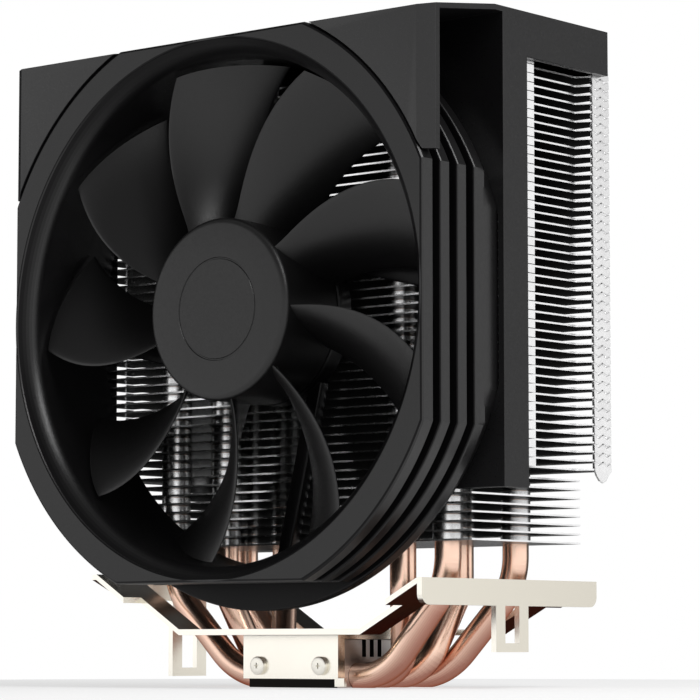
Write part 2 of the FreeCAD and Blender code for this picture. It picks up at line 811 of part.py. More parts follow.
def fin_pieces():
    tabbed = [("fin_half - fin_chamfer", "0 - fin_front"), ("fin_half", "fin_chamfer - fin_front"),
              ("fin_half", "tab_width - tab_front"), ("fin_waist", "tab_width - tab_front"),
              ("fin_waist", "waist_rear"), ("fin_half", "rear_tab_front"), ("fin_half", "fin_rear")]
    tabs = [("0 - tab_front", "tab_width - tab_front"), ("rear_tab_front", "fin_rear")]
    upper = fin_plate("upper_fin", tabbed, tabs)
    plain = [("lower_half", "0 - fin_front"), ("lower_half", "fin_rear")]
    lower = fin_plate("lower_fin", plain, [])
    first = size("lowest_fin")
    lower_count = int(size("lower_count"))
    fin_stack("lower_fins", lower, lower_count, first)
    fin_stack("upper_fins", upper, int(size("upper_count")), first + lower_count * size("fin_pitch"))


# ---------------------------------------------------------------- heat pipes


def bent_path(corners, radii):
    """Straight runs joined by tangent arcs at the inner corners."""
    edges = []
    start = corners[0]
    for index in range(1, len(corners) - 1):
        corner = corners[index]
        before = (corner - corners[index - 1]).normalize()
        after = (corners[index + 1] - corner).normalize()
        turn = before.getAngle(after)
        radius = radii[index - 1]
        reach = radius * math.tan(turn / 2)
        arc_start = corner - before * reach
        arc_end = corner + after * reach
        inward = (after - before).normalize()
        centre = corner + inward * (radius / math.cos(turn / 2))
        middle = centre - inward * radius
        edges.append(Part.makeLine(start, arc_start))
        edges.append(Part.Arc(arc_start, middle, arc_end).toShape())
        start = arc_end
    edges.append(Part.makeLine(start, corners[-1]))
    return Part.Wire(edges)


def pipe_route(leg_x, leg_y, knee_z, foot_x, base_y, bend, top):
    base_z = size("pipe_base_height")
    corners = [FreeCAD.Vector(leg_x, leg_y, top), FreeCAD.Vector(leg_x, leg_y, knee_z),
               FreeCAD.Vector(foot_x, base_y, base_z), FreeCAD.Vector(-foot_x, base_y, base_z),
               FreeCAD.Vector(-leg_x, leg_y, knee_z), FreeCAD.Vector(-leg_x, leg_y, top)]
    return bent_path(corners, [bend] * 4)


def swept(route, radius):
    start = route.Edges[0].valueAt(route.Edges[0].FirstParameter)
    circle = Part.Circle(start, FreeCAD.Vector(0, 0, 1), radius)
    profile = Part.Wire([circle.toShape()])
    return route.makePipeShell([profile], True, False)


def heat_pipe(kind, side):
    """A sealed U-shaped tube, milled flat where it meets the processor, with its wick."""
    sign = -1 if side == "front" else 1
    leg_x = size(kind + "_leg_x")
    leg_y = sign * size(kind + "_leg_y")
    lane = 1.5 if kind == "outer" else 0.5
    base_y = sign * lane * size("pipe_base_pitch")
    shape_at = (leg_x, leg_y, size(kind + "_knee_z"), size(kind + "_foot_x"), base_y, size(kind + "_bend"))
    top = size("pipe_top")
    outside = swept(pipe_route(*shape_at, top), size("pipe_radius"))
    up = FreeCAD.Vector(0, 0, 1)
    tips = [Part.makeCone(size("pipe_radius"), size("pipe_tip_radius"), size("pipe_tip_length"),
                          FreeCAD.Vector(x, leg_y, top), up) for x in (leg_x, -leg_x)]
    below = Part.makeBox(BEYOND, BEYOND, BEYOND, FreeCAD.Vector(-BEYOND / 2, -BEYOND / 2, -BEYOND))
    inside = swept(pipe_route(*shape_at, top - size("pipe_cap")), size("pipe_bore"))
    tube = outside.fuse(tips).removeSplitter().cut(below).cut(inside)
    name = "heat_pipe_%s_%s" % (kind, side)
    node(feature(name + "_shape", tube), name)
    wick_route = pipe_route(*shape_at, top - size("wick_end_gap"))
    lining = swept(wick_route, size("pipe_bore") - size("fit_gap"))
    passage = swept(wick_route, size("pipe_bore") - size("wick_wall"))
    wick = "wick_%s_%s" % (kind, side)
    node(feature(wick + "_shape", lining.cut(passage)), wick)


# ---------------------------------------------------------------- base


def base_block():
    blank = box("block_blank", ("0 - block_half_x", "block_half_x"), ("0 - block_half_y", "block_half_y"),
                ("0", "block_height"))
    tools = []
    for number, lane in enumerate((-1.5, -0.5, 0.5, 1.5)):
        groove = doc.addObject("Part::Cylinder", "pipe_groove_%d" % number)
        groove.Placement.Rotation = FreeCAD.Rotation(FreeCAD.Vector(0, 1, 0), 90)
        bind(groove, Radius="pipe_radius + fit_gap", Height="2 * block_half_x")
        tools.append(place(groove, "0 - block_half_x", "%g * pipe_base_pitch" % lane, "pipe_base_height"))
    for side, x_range in (("left", ("0 - block_half_x", "slot_depth - block_half_x")),
                          ("right", ("block_half_x - slot_depth", "block_half_x"))):
        for end, sign in (("front", -1), ("rear", 1)):
            for step in (-1, 0, 1):
                middle = "%d * ( slot_centre + %d * slot_pitch )" % (sign, step)
                tools.append(box("slot_%s_%s_%d" % (side, end, step + 1), x_range,
                                 (middle + " - slot_width / 2", middle + " + slot_width / 2"),
                                 ("slot_bottom", "block_height")))
    for number, (x, side) in enumerate(screw_spots()):
        tools.append(screw_cylinder("block_thread_%d" % number, "screw_radius + fit_gap", x, side,
                                    "block_half_y - screw_length", "block_half_y"))
    return node(cut("block", blank, fuse("block_tools", tools)), "base_block")


def screw_spots():
    return [(x, side) for side in (-1, 1) for x in ("0 - screw_x", "screw_x")]


def screw_cylinder(name, radius, x, side, inner, outer):
    """A cylinder along Y on the front (-1) or rear (1) side of the base."""
    obj = doc.addObject("Part::Cylinder", name)
    obj.Placement.Rotation = Y_AXIS_TURN
    bind(obj, Radius=radius, Height="( %s ) - ( %s )" % (outer, inner))
    start = "0 - ( %s )" % outer if side < 0 else inner
    return place(obj, x, start, "screw_z")


def base_saddle():
    """A nickel sheet folded over the block, screwed on at the front and rear."""
    outer_y = "block_half_y + saddle_sheet"
    outer_x = "block_half_x + saddle_sheet"
    outer = box("saddle_outer", ("0 - ( %s )" % outer_x, outer_x), ("0 - ( %s )" % outer_y, outer_y),
                ("saddle_bottom", "block_height + saddle_sheet"))
    inner = box("saddle_inner", ("0 - block_half_x", "block_half_x"), ("0 - block_half_y", "block_half_y"),
                ("0", "block_height"))
    window_y = outer_y + " - return_depth"
    window = box("saddle_window", ("0 - block_half_x - 5", "block_half_x + 5"),
                 ("0 - ( %s )" % window_y, window_y), ("0", "block_height"))
    holes = []
    for number, (x, side) in enumerate(screw_spots()):
        holes.append(screw_cylinder("saddle_hole_%d" % number, "screw_radius + fit_gap", x, side,
                                    "block_half_y - 1", outer_y + " + 1"))
    for number, (x, y) in enumerate(rivet_spots()):
        holes.append(upright("saddle_rivet_hole_%d" % number, "rivet_radius + fit_gap", x, y,
                             "block_height", "block_height + saddle_sheet"))
    folded = cut("saddle_folded", outer, fuse("saddle_tools", [inner, window] + holes))
    feet = []
    for side, x_range, y_range in (
            ("front", (outer_x + " - saddle_sheet", outer_x + " + foot_reach"),
             ("0 - ( %s )" % outer_y, "0 - block_half_y")),
            ("rear", ("0 - ( %s ) - foot_reach" % outer_x, "saddle_sheet - ( %s )" % outer_x),
             ("block_half_y", outer_y))):
        feet.append(box("saddle_foot_" + side, x_range, y_range,
                        ("foot_bottom", "saddle_bottom + foot_bottom")))
    return node(fuse("saddle", [folded] + feet), "base_saddle")


def rivet_spots():
    return [(x, y) for x in ("0 - rivet_x", "rivet_x") for y in ("0 - rivet_y", "rivet_y")]


def upright(name, radius, x, y, bottom, top):
    obj = doc.addObject("Part::Cylinder", name)
    bind(obj, Radius=radius, Height="( %s ) - ( %s )" % (top, bottom))
    return place(obj, x, y, bottom)


def saddle_screws():
    """Four cross-head screws, heads on the saddle's front and rear faces."""
    seat = "block_half_y + saddle_sheet"
    top = seat + " + screw_head_height"
    screws = []
    for number, (x, side) in enumerate(screw_spots()):
        head = screw_cylinder("screw_head_%d" % number, "screw_head_radius", x, side, seat, top)
        shank = screw_cylinder("screw_shank_%d" % number, "screw_radius", x, side,
                               "block_half_y - screw_length + screw_end_gap", seat)
        inner = top + " - cross_depth"
        y_range = ("0 - ( %s )" % top, "0 - ( %s )" % inner) if side < 0 else (inner, top)
        arms = []
        for arm, (half_x, half_z) in enumerate((("cross_length / 2", "cross_width / 2"),
                                                ("cross_width / 2", "cross_length / 2"))):
            arms.append(box("cross_%d_%d" % (number, arm), (x + " - " + half_x, x + " + " + half_x),
                            y_range, ("screw_z - " + half_z, "screw_z + " + half_z)))
        solid = fuse("screw_solid_%d" % number, [head, shank])
        screws.append(cut("screw_%d" % number, solid, fuse("cross_%d" % number, arms)))
    doc.recompute()
    return node(feature("screws", Part.makeCompound([screw.Shape for screw in screws])), "saddle_screws")


# ---------------------------------------------------------------- mounting clip


def clip_side(side):
    """Two arms, the flange they end in and the loop that hangs from it."""
    sign = "0 - " if side == "left" else ""
    top = side + "_flange_top"
    level = "block_height + saddle_sheet"
    inner = "clip_half - clip_sheet"
    lines = [("bar_half - 1", level), ("bar_half", level), (inner, top + " - clip_sheet"),
             (inner, top), ("bar_half", level + " + clip_sheet"), ("bar_half - 1", level + " + clip_sheet")]
    pieces = []
    for end, near, far in (("front", "0 - flange_reach", "0 - bar_inner"),
                           ("rear", "bar_inner", "flange_reach")):
        arm = body("arm_%s_%s" % (side, end))
        outline = sketch(arm, "arm_outline_%s_%s" % (side, end), "XZ_Plane", "0 - ( %s )" % far)
        draw_polygon(outline, [("%s( %s )" % (sign, x), z) for x, z in lines])
        pad(arm, "arm_pad_%s_%s" % (side, end), outline, "flange_reach - bar_inner")
        pieces.append(arm)
    edges = (sign + "( clip_half - clip_sheet )", sign + "clip_half")
    x_range = edges if side == "right" else (edges[1], edges[0])
    pieces.append(flange_strip("flange_" + side, side))
    loop = box("loop_" + side, x_range, ("0 - loop_half", "loop_half"),
               (side + "_loop_bottom", top + " - 1"))
    hole = box("loop_hole_" + side, x_range, ("0 - loop_hole_half", "loop_hole_half"),
               (side + "_loop_bottom + loop_rail", top + " - flange_height"))
    pieces.append(cut("loop_open_" + side, loop, hole))
    trims = []
    for end, near, far in (("front", "0 - flange_reach - 1", "0 - bar_front"),
                           ("rear", "bar_front", "flange_reach + 1")):
        reach = ("0", sign + "arm_step") if side == "right" else (sign + "arm_step", "0")
        trims.append(box("arm_trim_%s_%s" % (side, end), reach, (near, far), ("0", top + " + 1")))
    return pieces, trims


def flange_strip(name, side):
    """The upright strip at the end of a pair of arms, its lower corners rounded. The left strip's
    front corner is cut off along the slope of its arm."""
    reach, top, sheet = size("flange_reach"), size(side + "_flange_top"), size("clip_sheet")
    low = top - size("flange_height")
    outline = [(-reach, top), (reach, top), (reach, low)]
    if side == "left":
        start = -size("clip_half")
        outline += [(size("flange_slant_length") - reach, low), (-reach, low + size("flange_slant_rise"))]
    else:
        start = size("clip_half") - sheet
        outline.append((-reach, low))
    corners = [FreeCAD.Vector(start, y, z) for y, z in outline]
    face = Part.Face(Part.makePolygon(corners + corners[:1]))
    blank = face.extrude(FreeCAD.Vector(sheet, 0, 0))
    lower = [edge for edge in blank.Edges
             if edge.BoundBox.XLength > sheet / 2 and edge.BoundBox.ZMax < blank.BoundBox.Center.z]
    return feature(name, blank.makeFillet(size("flange_round"), lower))


def mounting_clip():
    level = "block_height + saddle_sheet"
    z_range = (level, level + " + clip_sheet")
    pieces = [box("clip_web", ("0 - block_half_x - saddle_sheet", "block_half_x + saddle_sheet"),
                  ("0 - bar_inner", "bar_inner"), z_range)]
    for end, y_range in (("front", ("0 - bar_front", "0 - bar_inner")), ("rear", ("bar_inner", "bar_front"))):
        pieces.append(box("clip_bar_" + end, ("0 - bar_half", "bar_half"), y_range, z_range))
    trims = []
    for side in ("left", "right"):
        side_pieces, side_trims = clip_side(side)
        pieces += side_pieces
        trims += side_trims
    holes = []
    for number, (x, y) in enumerate(rivet_spots()):
        holes.append(upright("clip_hole_%d" % number, "rivet_radius + fit_gap", x, y, level,
                             level + " + clip_sheet"))
        sink = doc.addObject("Part::Cone", "clip_sink_%d" % number)
        bind(sink, Radius1="rivet_radius + fit_gap", Radius2="rivet_head_radius + fit_gap",
             Height="rivet_head_height")
        holes.append(place(sink, x, y, level + " + clip_sheet - rivet_head_height"))
    whole = fuse("clip_whole", pieces)
    return node(cut("clip", whole, fuse("clip_tools", trims + holes)), "mounting_clip")


def clip_rivets():
    """Four flush rivets that hold the clip to the saddle."""
    top = "block_height + saddle_sheet + clip_sheet"
    rivets = []
    for number, (x, y) in enumerate(rivet_spots()):
        shank = upright("rivet_shank_%d" % number, "rivet_radius", x, y, "block_height", top)
        head = doc.addObject("Part::Cone", "rivet_head_%d" % number)
        bind(head, Radius1="rivet_radius", Radius2="rivet_head_radius", Height="rivet_head_height")
        place(head, x, y, top + " - rivet_head_height")
        rivets.append(fuse("rivet_%d" % number, [shank, head]))
    doc.recompute()
    return node(feature("rivets", Part.makeCompound([rivet.Shape for rivet in rivets])), "clip_rivets")


# ---------------------------------------------------------------- build and write


def build():
    fill_sheet()
    fan_frame()
    rotor_shell()
    rotor_yoke()
    rotor_magnet()
    rotor_shaft()
    retaining_ring()
    bearing_pieces()
    stator_pieces()
    stator_coils()
    winding_pins()
    motor_board()
    shroud()
    fin_pieces()
    for kind in ("outer", "inner"):
        for side in ("front", "rear"):
            heat_pipe(kind, side)
    base_block()
    base_saddle()
    saddle_screws()
    mounting_clip()
    clip_rivets()
    doc.recompute()


def check_and_write():
    for obj in doc.Objects:
        if "Invalid" in obj.State or "Error" in obj.State:
            raise RuntimeError("%s (%s) failed: %s" % (obj.Name, obj.Label, obj.State))
    os.makedirs("parts", exist_ok=True)
    for obj in nodes:
        shape = obj.Shape
        if shape.isNull() or not shape.isValid():
            raise RuntimeError("%s has no valid shape" % obj.Label)
        print("%-26s solids %2d volume %10.1f" % (obj.Label, len(shape.Solids), shape.Volume))
        shape.exportStep("parts/%s.step" % obj.Label)


build()
check_and_write()
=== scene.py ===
import math

import bmesh
import bpy
from mathutils import Matrix, Vector

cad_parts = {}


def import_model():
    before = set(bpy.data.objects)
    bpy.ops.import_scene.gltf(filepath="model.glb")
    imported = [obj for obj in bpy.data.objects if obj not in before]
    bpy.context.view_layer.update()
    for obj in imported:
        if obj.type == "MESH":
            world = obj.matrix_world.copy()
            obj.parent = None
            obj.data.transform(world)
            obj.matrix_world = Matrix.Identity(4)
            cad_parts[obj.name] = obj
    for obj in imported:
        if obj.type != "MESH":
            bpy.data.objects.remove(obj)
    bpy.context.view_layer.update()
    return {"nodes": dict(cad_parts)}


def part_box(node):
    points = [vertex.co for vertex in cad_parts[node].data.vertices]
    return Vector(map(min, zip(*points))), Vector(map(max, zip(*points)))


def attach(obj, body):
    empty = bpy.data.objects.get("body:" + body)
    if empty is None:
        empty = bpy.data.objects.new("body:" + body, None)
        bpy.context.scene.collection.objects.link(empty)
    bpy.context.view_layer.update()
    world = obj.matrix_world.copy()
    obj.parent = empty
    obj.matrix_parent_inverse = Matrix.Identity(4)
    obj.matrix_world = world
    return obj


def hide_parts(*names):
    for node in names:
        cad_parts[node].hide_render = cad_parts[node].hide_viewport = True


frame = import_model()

MM = 0.001

# ---------------------------------------------------------------- where things are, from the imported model


def box_mm(node):
    low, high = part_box(node)
    return low / MM, high / MM


SHAFT_LOW, SHAFT_HIGH = box_mm("rotor_shaft")
FRAME_LOW, FRAME_HIGH = box_mm("fan_frame")
FIN_LOW, FIN_HIGH = box_mm("upper_fins")
SADDLE_FACE = box_mm("base_saddle")[1].y

AXIS_Z = (SHAFT_LOW.z + SHAFT_HIGH.z) / 2
FRONT_Y = FRAME_LOW.y
FLANGE_HALF = FRAME_HIGH.x
FAN_DEPTH = FRAME_HIGH.y - FRAME_LOW.y

RIGHT, FRONT, BACK = (1.0, 0.0, 0.0), (0.0, -1.0, 0.0), (0.0, 1.0, 0.0)
UP, DOWN = (0.0, 0.0, 1.0), (0.0, 0.0, -1.0)

# ---------------------------------------------------------------- mesh helpers (millimetres in, metres out)

# The angles in degrees above which an edge shades sharp.
MOULDED_ANGLE = 18.0
BLADE_ANGLE = 40.0
FLAT_ANGLE = 1.0  # pressed sheet and milled faces, which shade flat
CUT_ANGLE = 32.0

MERGE_DISTANCE = 0.002
JOIN_ANGLE = 0.6  # faces nearer to flat than this are joined
BEVEL_ANGLE = 30.0  # edges sharper than this are bevelled
ARC_STEPS = 3
AXIS_RADIUS = 0.01  # in place of 0, so that points on the axis stay apart


def mesh_of(name, bm):
    """The mesh in metres of a bmesh in millimetres."""
    bmesh.ops.scale(bm, vec=Vector((MM, MM, MM)), verts=bm.verts)
    mesh = bpy.data.meshes.new(name)
    bm.to_mesh(mesh)
    bm.free()
    return mesh


def linked(name, data):
    """A new object in the scene."""
    obj = bpy.data.objects.new(name, data)
    bpy.context.scene.collection.objects.link(obj)
    return obj


def shade(mesh, sharp_angle):
    mesh.shade_smooth()
    mesh.set_sharp_from_angle(angle=math.radians(sharp_angle))


def make_piece(name, bm, material, body, replaced=(), sharp_angle=MOULDED_ANGLE):
    """Turn a bmesh in millimetres into a smooth-shaded piece that rides on a body."""
    bmesh.ops.recalc_face_normals(bm, faces=bm.faces)
    mesh = mesh_of(name, bm)
    shade(mesh, sharp_angle)
    obj = linked(name, mesh)
    mesh.materials.append(material)
    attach(obj, body)
    if replaced:
        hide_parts(*replaced)
    return obj


def grid_faces(bm, rows, close_rows, close_columns):
    """Quads between neighbouring rows of vertices."""
    count = len(rows)
    width = len(rows[0])
    for i in range(count if close_rows else count - 1):
        for j in range(width if close_columns else width - 1):
            a, b = rows[i][j], rows[i][(j + 1) % width]
            c, d = rows[(i + 1) % count][(j + 1) % width], rows[(i + 1) % count][j]
            bm.faces.new((a, b, c, d))


def skinned(bm, rows):
    """A closed body: loops of vertices joined by quads, with the first and the last loop capped."""
    grid_faces(bm, rows, False, True)
    bm.faces.new(rows[0])
    bm.faces.new(rows[-1])


def plate(bm, lower, upper):
    """A closed body between two matching loops of vertices."""
    bm.faces.new(lower)
    bm.faces.new(upper)
    count = len(lower)
    for index in range(count):
        following = (index + 1) % count
        bm.faces.new((lower[index], lower[following], upper[following], upper[index]))


def around_axis(angle, radius, station):
    """A point at this angle and radius about the fan's axis, this far behind its front face."""
    turn = math.radians(angle)
    return Vector((radius * math.cos(turn), FRONT_Y + station, AXIS_Z + radius * math.sin(turn)))


def turned(bm, profile, steps):
    """A closed (station, radius) outline turned about the fan's axis.

    A radius may be a function of the angle."""
    rows = []
    for index in range(steps):
        angle = 360.0 * index / steps
        row = []
        for station, radius in profile:
            reach = radius(angle) if callable(radius) else radius
            row.append(bm.verts.new(around_axis(angle, max(reach, AXIS_RADIUS), station)))
        rows.append(row)
    grid_faces(bm, rows, True, True)


def rounded_corner(corner, before, after, radius):
    """Points of an arc that rounds a 2D corner."""
    first = (before - corner).normalized()
    second = (after - corner).normalized()
    half = first.angle(second) / 2
    reach = radius / math.tan(half)
    centre = corner + (first + second).normalized() * (radius / math.sin(half))
    start = corner + first * reach - centre
    end = corner + second * reach - centre
    total = start.angle_signed(end)
    turns = [Matrix.Rotation(-total * index / ARC_STEPS, 2) for index in range(ARC_STEPS + 1)]
    return [centre + turn @ start for turn in turns]


def rounded_outline(corners, radius):
    """A 2D outline whose corners are rounded."""
    corners = [Vector(corner) for corner in corners]
    points = []
    for index, corner in enumerate(corners):
        following = corners[(index + 1) % len(corners)]
        points += rounded_corner(corner, corners[index - 1], following, radius)
    return points


def from_node(node):
    """The node's own surface in millimetres, its flat areas joined into single faces."""
    bm = bmesh.new()
    bm.from_mesh(frame["nodes"][node].data)
    bmesh.ops.scale(bm, vec=Vector((1 / MM, 1 / MM, 1 / MM)), verts=bm.verts)
    bmesh.ops.remove_doubles(bm, verts=bm.verts, dist=MERGE_DISTANCE)
    bmesh.ops.dissolve_limit(bm, angle_limit=math.radians(JOIN_ANGLE), verts=bm.verts, edges=bm.edges)
    return bm


def softened(node, width):
    """The node's own surface with a small bevel along its sharp edges."""
    bm = from_node(node)
    limit = math.radians(BEVEL_ANGLE)
    sharp = [e for e in bm.edges if len(e.link_faces) == 2 and e.calc_face_angle(0.0) > limit]
    bmesh.ops.bevel(bm, geom=sharp, offset=width, offset_type="OFFSET", segments=2, profile=0.5,
                    affect="EDGES", clamp_overlap=True)
    return bm


# ---------------------------------------------------------------- materials

PATCH_SCALE = 420.0  # of the noise that breaks up the edge tint
LEAST_EDGE_TINT = 0.15  # the share of the edge tint that is left between its patches
BUMP_STRENGTH = 0.35
EDGE_FULLY, EDGE_BARELY = 0.86, 0.995  # how near the bevelled normal is to the true one
STEP_WIDTH = 1.0  # of the change in shine at a given Y


def node_tree(name):
    """A new material with its node tree and its shader."""
    material = bpy.data.materials.new(name)
    material.use_nodes = True
    tree = material.node_tree
    return material, tree, tree.nodes["Principled BSDF"]


def add(tree, kind, **values):
    """A node whose inputs or settings have these values."""
    made = tree.nodes.new(kind)
    for key, value in values.items():
        if key in made.inputs:
            made.inputs[key].default_value = value
        else:
            setattr(made, key, value)
    return made


def stretched_coordinates(tree, stretch):
    """Object coordinates, scaled so that a texture is drawn out along an axis."""
    place = add(tree, "ShaderNodeTexCoord")
    mapping = add(tree, "ShaderNodeMapping")
    mapping.inputs["Scale"].default_value = stretch
    tree.links.new(place.outputs["Object"], mapping.inputs["Vector"])
    return mapping.outputs["Vector"]


def noise(tree, vector, scale, detail=3.0, rough=0.5):
    """A noise texture's grey value."""
    made = add(tree, "ShaderNodeTexNoise", Scale=scale, Detail=detail, Roughness=rough)
    tree.links.new(vector, made.inputs["Vector"])
    return made.outputs["Fac"]


def ranged(tree, source, low, high, start=0.3, end=0.7):
    """A value that goes from low to high as the source goes from start to end."""
    made = add(tree, "ShaderNodeMapRange")
    for key, value in (("From Min", start), ("From Max", end), ("To Min", low), ("To Max", high)):
        made.inputs[key].default_value = value
    tree.links.new(source, made.inputs["Value"])
    return made.outputs["Result"]


def mixed(tree, factor, first, second):
    """Two colours mixed by a factor. Each is a tuple or a socket."""
    made = add(tree, "ShaderNodeMix", data_type="RGBA")
    for socket, value in ((made.inputs[6], first), (made.inputs[7], second)):
        if isinstance(value, tuple):
            socket.default_value = (*value, 1.0)
        else:
            tree.links.new(value, socket)
    tree.links.new(factor, made.inputs[0])
    return made.outputs[2]


def edge_mask(tree, radius):
    """1 along edges, 0 on flat ground: where the bevelled normal leaves the true one."""
    rounded = add(tree, "ShaderNodeBevel", Radius=radius * MM, samples=4)
    ground = add(tree, "ShaderNodeNewGeometry")
    product = add(tree, "ShaderNodeVectorMath", operation="DOT_PRODUCT")
    tree.links.new(rounded.outputs["Normal"], product.inputs[0])
    tree.links.new(ground.outputs["Normal"], product.inputs[1])
    return ranged(tree, product.outputs["Value"], 1.0, 0.0, EDGE_FULLY, EDGE_BARELY)


def surface(name, colour, metallic, roughness, grain=2600.0, grain_height=0.02, stretch=(1, 1, 1),
            mottle=0.06, mottle_scale=60.0, edge_tint=None, edge_radius=0.35, edge_amount=0.5,
            rough_spread=0.06, specular=0.5):
    """A finish: colour mottling, grain that drives bump and roughness, and a tint along the edges: wear on
    most materials, partly wear and partly a painted highlight on the mouldings, and painted shade in the
    seams of the tab scales.
    """
    material, tree, shader = node_tree(name)
    shader.inputs["Metallic"].default_value = metallic
    shader.inputs["Specular IOR Level"].default_value = specular
    plain = stretched_coordinates(tree, (1, 1, 1))
    grained = stretched_coordinates(tree, stretch)
    fine = noise(tree, grained, grain, 4.0, 0.6)
    broad = noise(tree, plain, mottle_scale, 3.0, 0.55)
    darker = tuple(c * (1 - mottle) for c in colour)
    lighter = tuple(min(1.0, c * (1 + mottle)) for c in colour)
    tint = mixed(tree, ranged(tree, broad, 0.0, 1.0), darker, lighter)
    if edge_tint:
        mask = edge_mask(tree, edge_radius)
        patchy = add(tree, "ShaderNodeMath", operation="MULTIPLY")
        tree.links.new(mask, patchy.inputs[0])
        patches = noise(tree, plain, PATCH_SCALE)
        tree.links.new(ranged(tree, patches, LEAST_EDGE_TINT * edge_amount, edge_amount), patchy.inputs[1])
        tint = mixed(tree, patchy.outputs[0], tint, edge_tint)
    tree.links.new(tint, shader.inputs["Base Color"])
    tree.links.new(ranged(tree, fine, roughness - rough_spread, roughness + rough_spread),
                   shader.inputs["Roughness"])
    bump = add(tree, "ShaderNodeBump", Strength=BUMP_STRENGTH, Distance=grain_height * MM)
    tree.links.new(fine, bump.inputs["Height"])
    tree.links.new(bump.outputs["Normal"], shader.inputs["Normal"])
    return material


def facing(tree, towards, start, end, both=False):
    """1 on the faces that look towards a direction (or also away from it), 0 on the others."""
    ground = add(tree, "ShaderNodeNewGeometry")
    product = add(tree, "ShaderNodeVectorMath", operation="DOT_PRODUCT")
    product.inputs[1].default_value = Vector(towards).normalized()
    tree.links.new(ground.outputs["True Normal"], product.inputs[0])
    value = product.outputs["Value"]
    if both:
        size = add(tree, "ShaderNodeMath", operation="ABSOLUTE")
        tree.links.new(value, size.inputs[0])
        value = size.outputs[0]
    return ranged(tree, value, 0.0, 1.0, start, end)


def other_faces(material, colour, towards, both=False, start=0.4, end=0.6, glancing=None):
    """Painted shade: another, darker colour on the faces that look one way, and if asked a darker tint of
    their reflection at a glancing angle.
    """
    tree = material.node_tree
    shader = tree.nodes["Principled BSDF"]
    usual = shader.inputs["Base Color"].links[0].from_socket
    share = facing(tree, towards, start, end, both)
    tree.links.new(mixed(tree, share, usual, colour), shader.inputs["Base Color"])
    if glancing:
        tree.links.new(mixed(tree, share, (1.0, 1.0, 1.0), glancing), shader.inputs["Specular Tint"])


def other_gloss(material, specular, towards, start, end, both=False, before=None):
    """Another shine on the faces that look one way: painted shade, where duller faces stand in for the shade
    that falls on them.

    With before, only in front of that Y in millimetres."""
    tree = material.node_tree
    socket = tree.nodes["Principled BSDF"].inputs["Specular IOR Level"]
    share = facing(tree, towards, start, end, both)
    if before is not None:
        parts = add(tree, "ShaderNodeSeparateXYZ")
        tree.links.new(add(tree, "ShaderNodeTexCoord").outputs["Object"], parts.inputs["Vector"])
        ahead = add(tree, "ShaderNodeMath", operation="MULTIPLY")
        tree.links.new(share, ahead.inputs[0])
        near, far = (before - STEP_WIDTH / 2) * MM, (before + STEP_WIDTH / 2) * MM
        tree.links.new(ranged(tree, parts.outputs["Y"], 1.0, 0.0, near, far), ahead.inputs[1])
        share = ahead.outputs[0]
    blend = add(tree, "ShaderNodeMix", data_type="FLOAT")
    tree.links.new(share, blend.inputs[0])
    if socket.links:
        tree.links.new(socket.links[0].from_socket, blend.inputs[2])
    else:
        blend.inputs[2].default_value = socket.default_value
    blend.inputs[3].default_value = specular
    tree.links.new(blend.outputs[0], socket)


# Lighter edges on the black mouldings: partly wear, partly a painted highlight along the edges.
MOULDING_WEAR_AND_SHEEN = dict(grain=2400, grain_height=0.05, mottle=0.10, edge_tint=(0.03, 0.0295, 0.031), edge_radius=0.4)

PLASTIC = surface("frame_plastic", (0.0038, 0.0036, 0.0039), 0.0, 0.33, edge_amount=0.55, **MOULDING_WEAR_AND_SHEEN)
# Painted shade: a duller shine on faces that look forwards and downwards, most on the ribs' front faces
# behind the flange; the flange's own front face keeps nearly the usual shine.
other_gloss(PLASTIC, 0.12, FRONT, 0.5, 0.75)
other_gloss(PLASTIC, 0.40, FRONT, 0.985, 0.998, before=FRONT_Y + 1.0)
other_gloss(PLASTIC, 0.10, DOWN, 0.5, 0.75)
COVER = surface("cover_plastic", (0.0040, 0.0038, 0.0042), 0.0, 0.32, specular=0.52, edge_amount=0.5,
                **MOULDING_WEAR_AND_SHEEN)
# Painted shade: a duller shine on the cover's side faces.
other_gloss(COVER, 0.34, RIGHT, 0.8, 0.95, both=True)
ROTOR = surface("rotor_plastic", (0.0036, 0.0034, 0.0036), 0.0, 0.38, specular=0.44, grain=1900,
                grain_height=0.05, edge_tint=(0.02, 0.02, 0.021), edge_radius=0.4, edge_amount=0.35, mottle=0.12)
ALUMINIUM = surface("fin_aluminium", (0.95, 0.95, 0.955), 1.0, 0.28, grain=900, grain_height=0.02,
                    stretch=(1, 14, 14), mottle=0.05, mottle_scale=140.0)
# Painted shade: the fins' flat faces are near black, with a darker reflection at a glancing angle, standing
# in for the shade between the fins.
other_faces(ALUMINIUM, (0.07, 0.07, 0.072), UP, both=True, glancing=(0.6, 0.6, 0.6))
# The tab scales' dark edge tint is painted shade in the seams between the scales.
TAB = surface("fin_tab_aluminium", (0.96, 0.955, 0.96), 1.0, 0.26, grain=1500, grain_height=0.03,
              stretch=(6, 6, 1), mottle=0.05, mottle_scale=300.0, edge_tint=(0.22, 0.22, 0.22), edge_radius=0.3,
              edge_amount=1.0)
COPPER = surface("pipe_copper", (0.97, 0.66, 0.52), 1.0, 0.24, grain=1400, grain_height=0.012,
                 stretch=(6, 6, 0.6), mottle=0.06, mottle_scale=70.0, rough_spread=0.04)
# Painted shade: the pipes' downward faces turn dark red-brown, with a darker reflection at a glancing angle.
other_faces(COPPER, (0.42, 0.20, 0.15), DOWN, start=0.05, end=0.65, glancing=(0.5, 0.3, 0.25))
NICKEL = surface("nickel_sheet", (0.96, 0.92, 0.83), 1.0, 0.22, grain=1600, grain_height=0.01,
                 stretch=(0.35, 3, 5), mottle=0.025, mottle_scale=40.0, rough_spread=0.03,
                 edge_tint=(0.98, 0.975, 0.95), edge_radius=0.25, edge_amount=0.6)
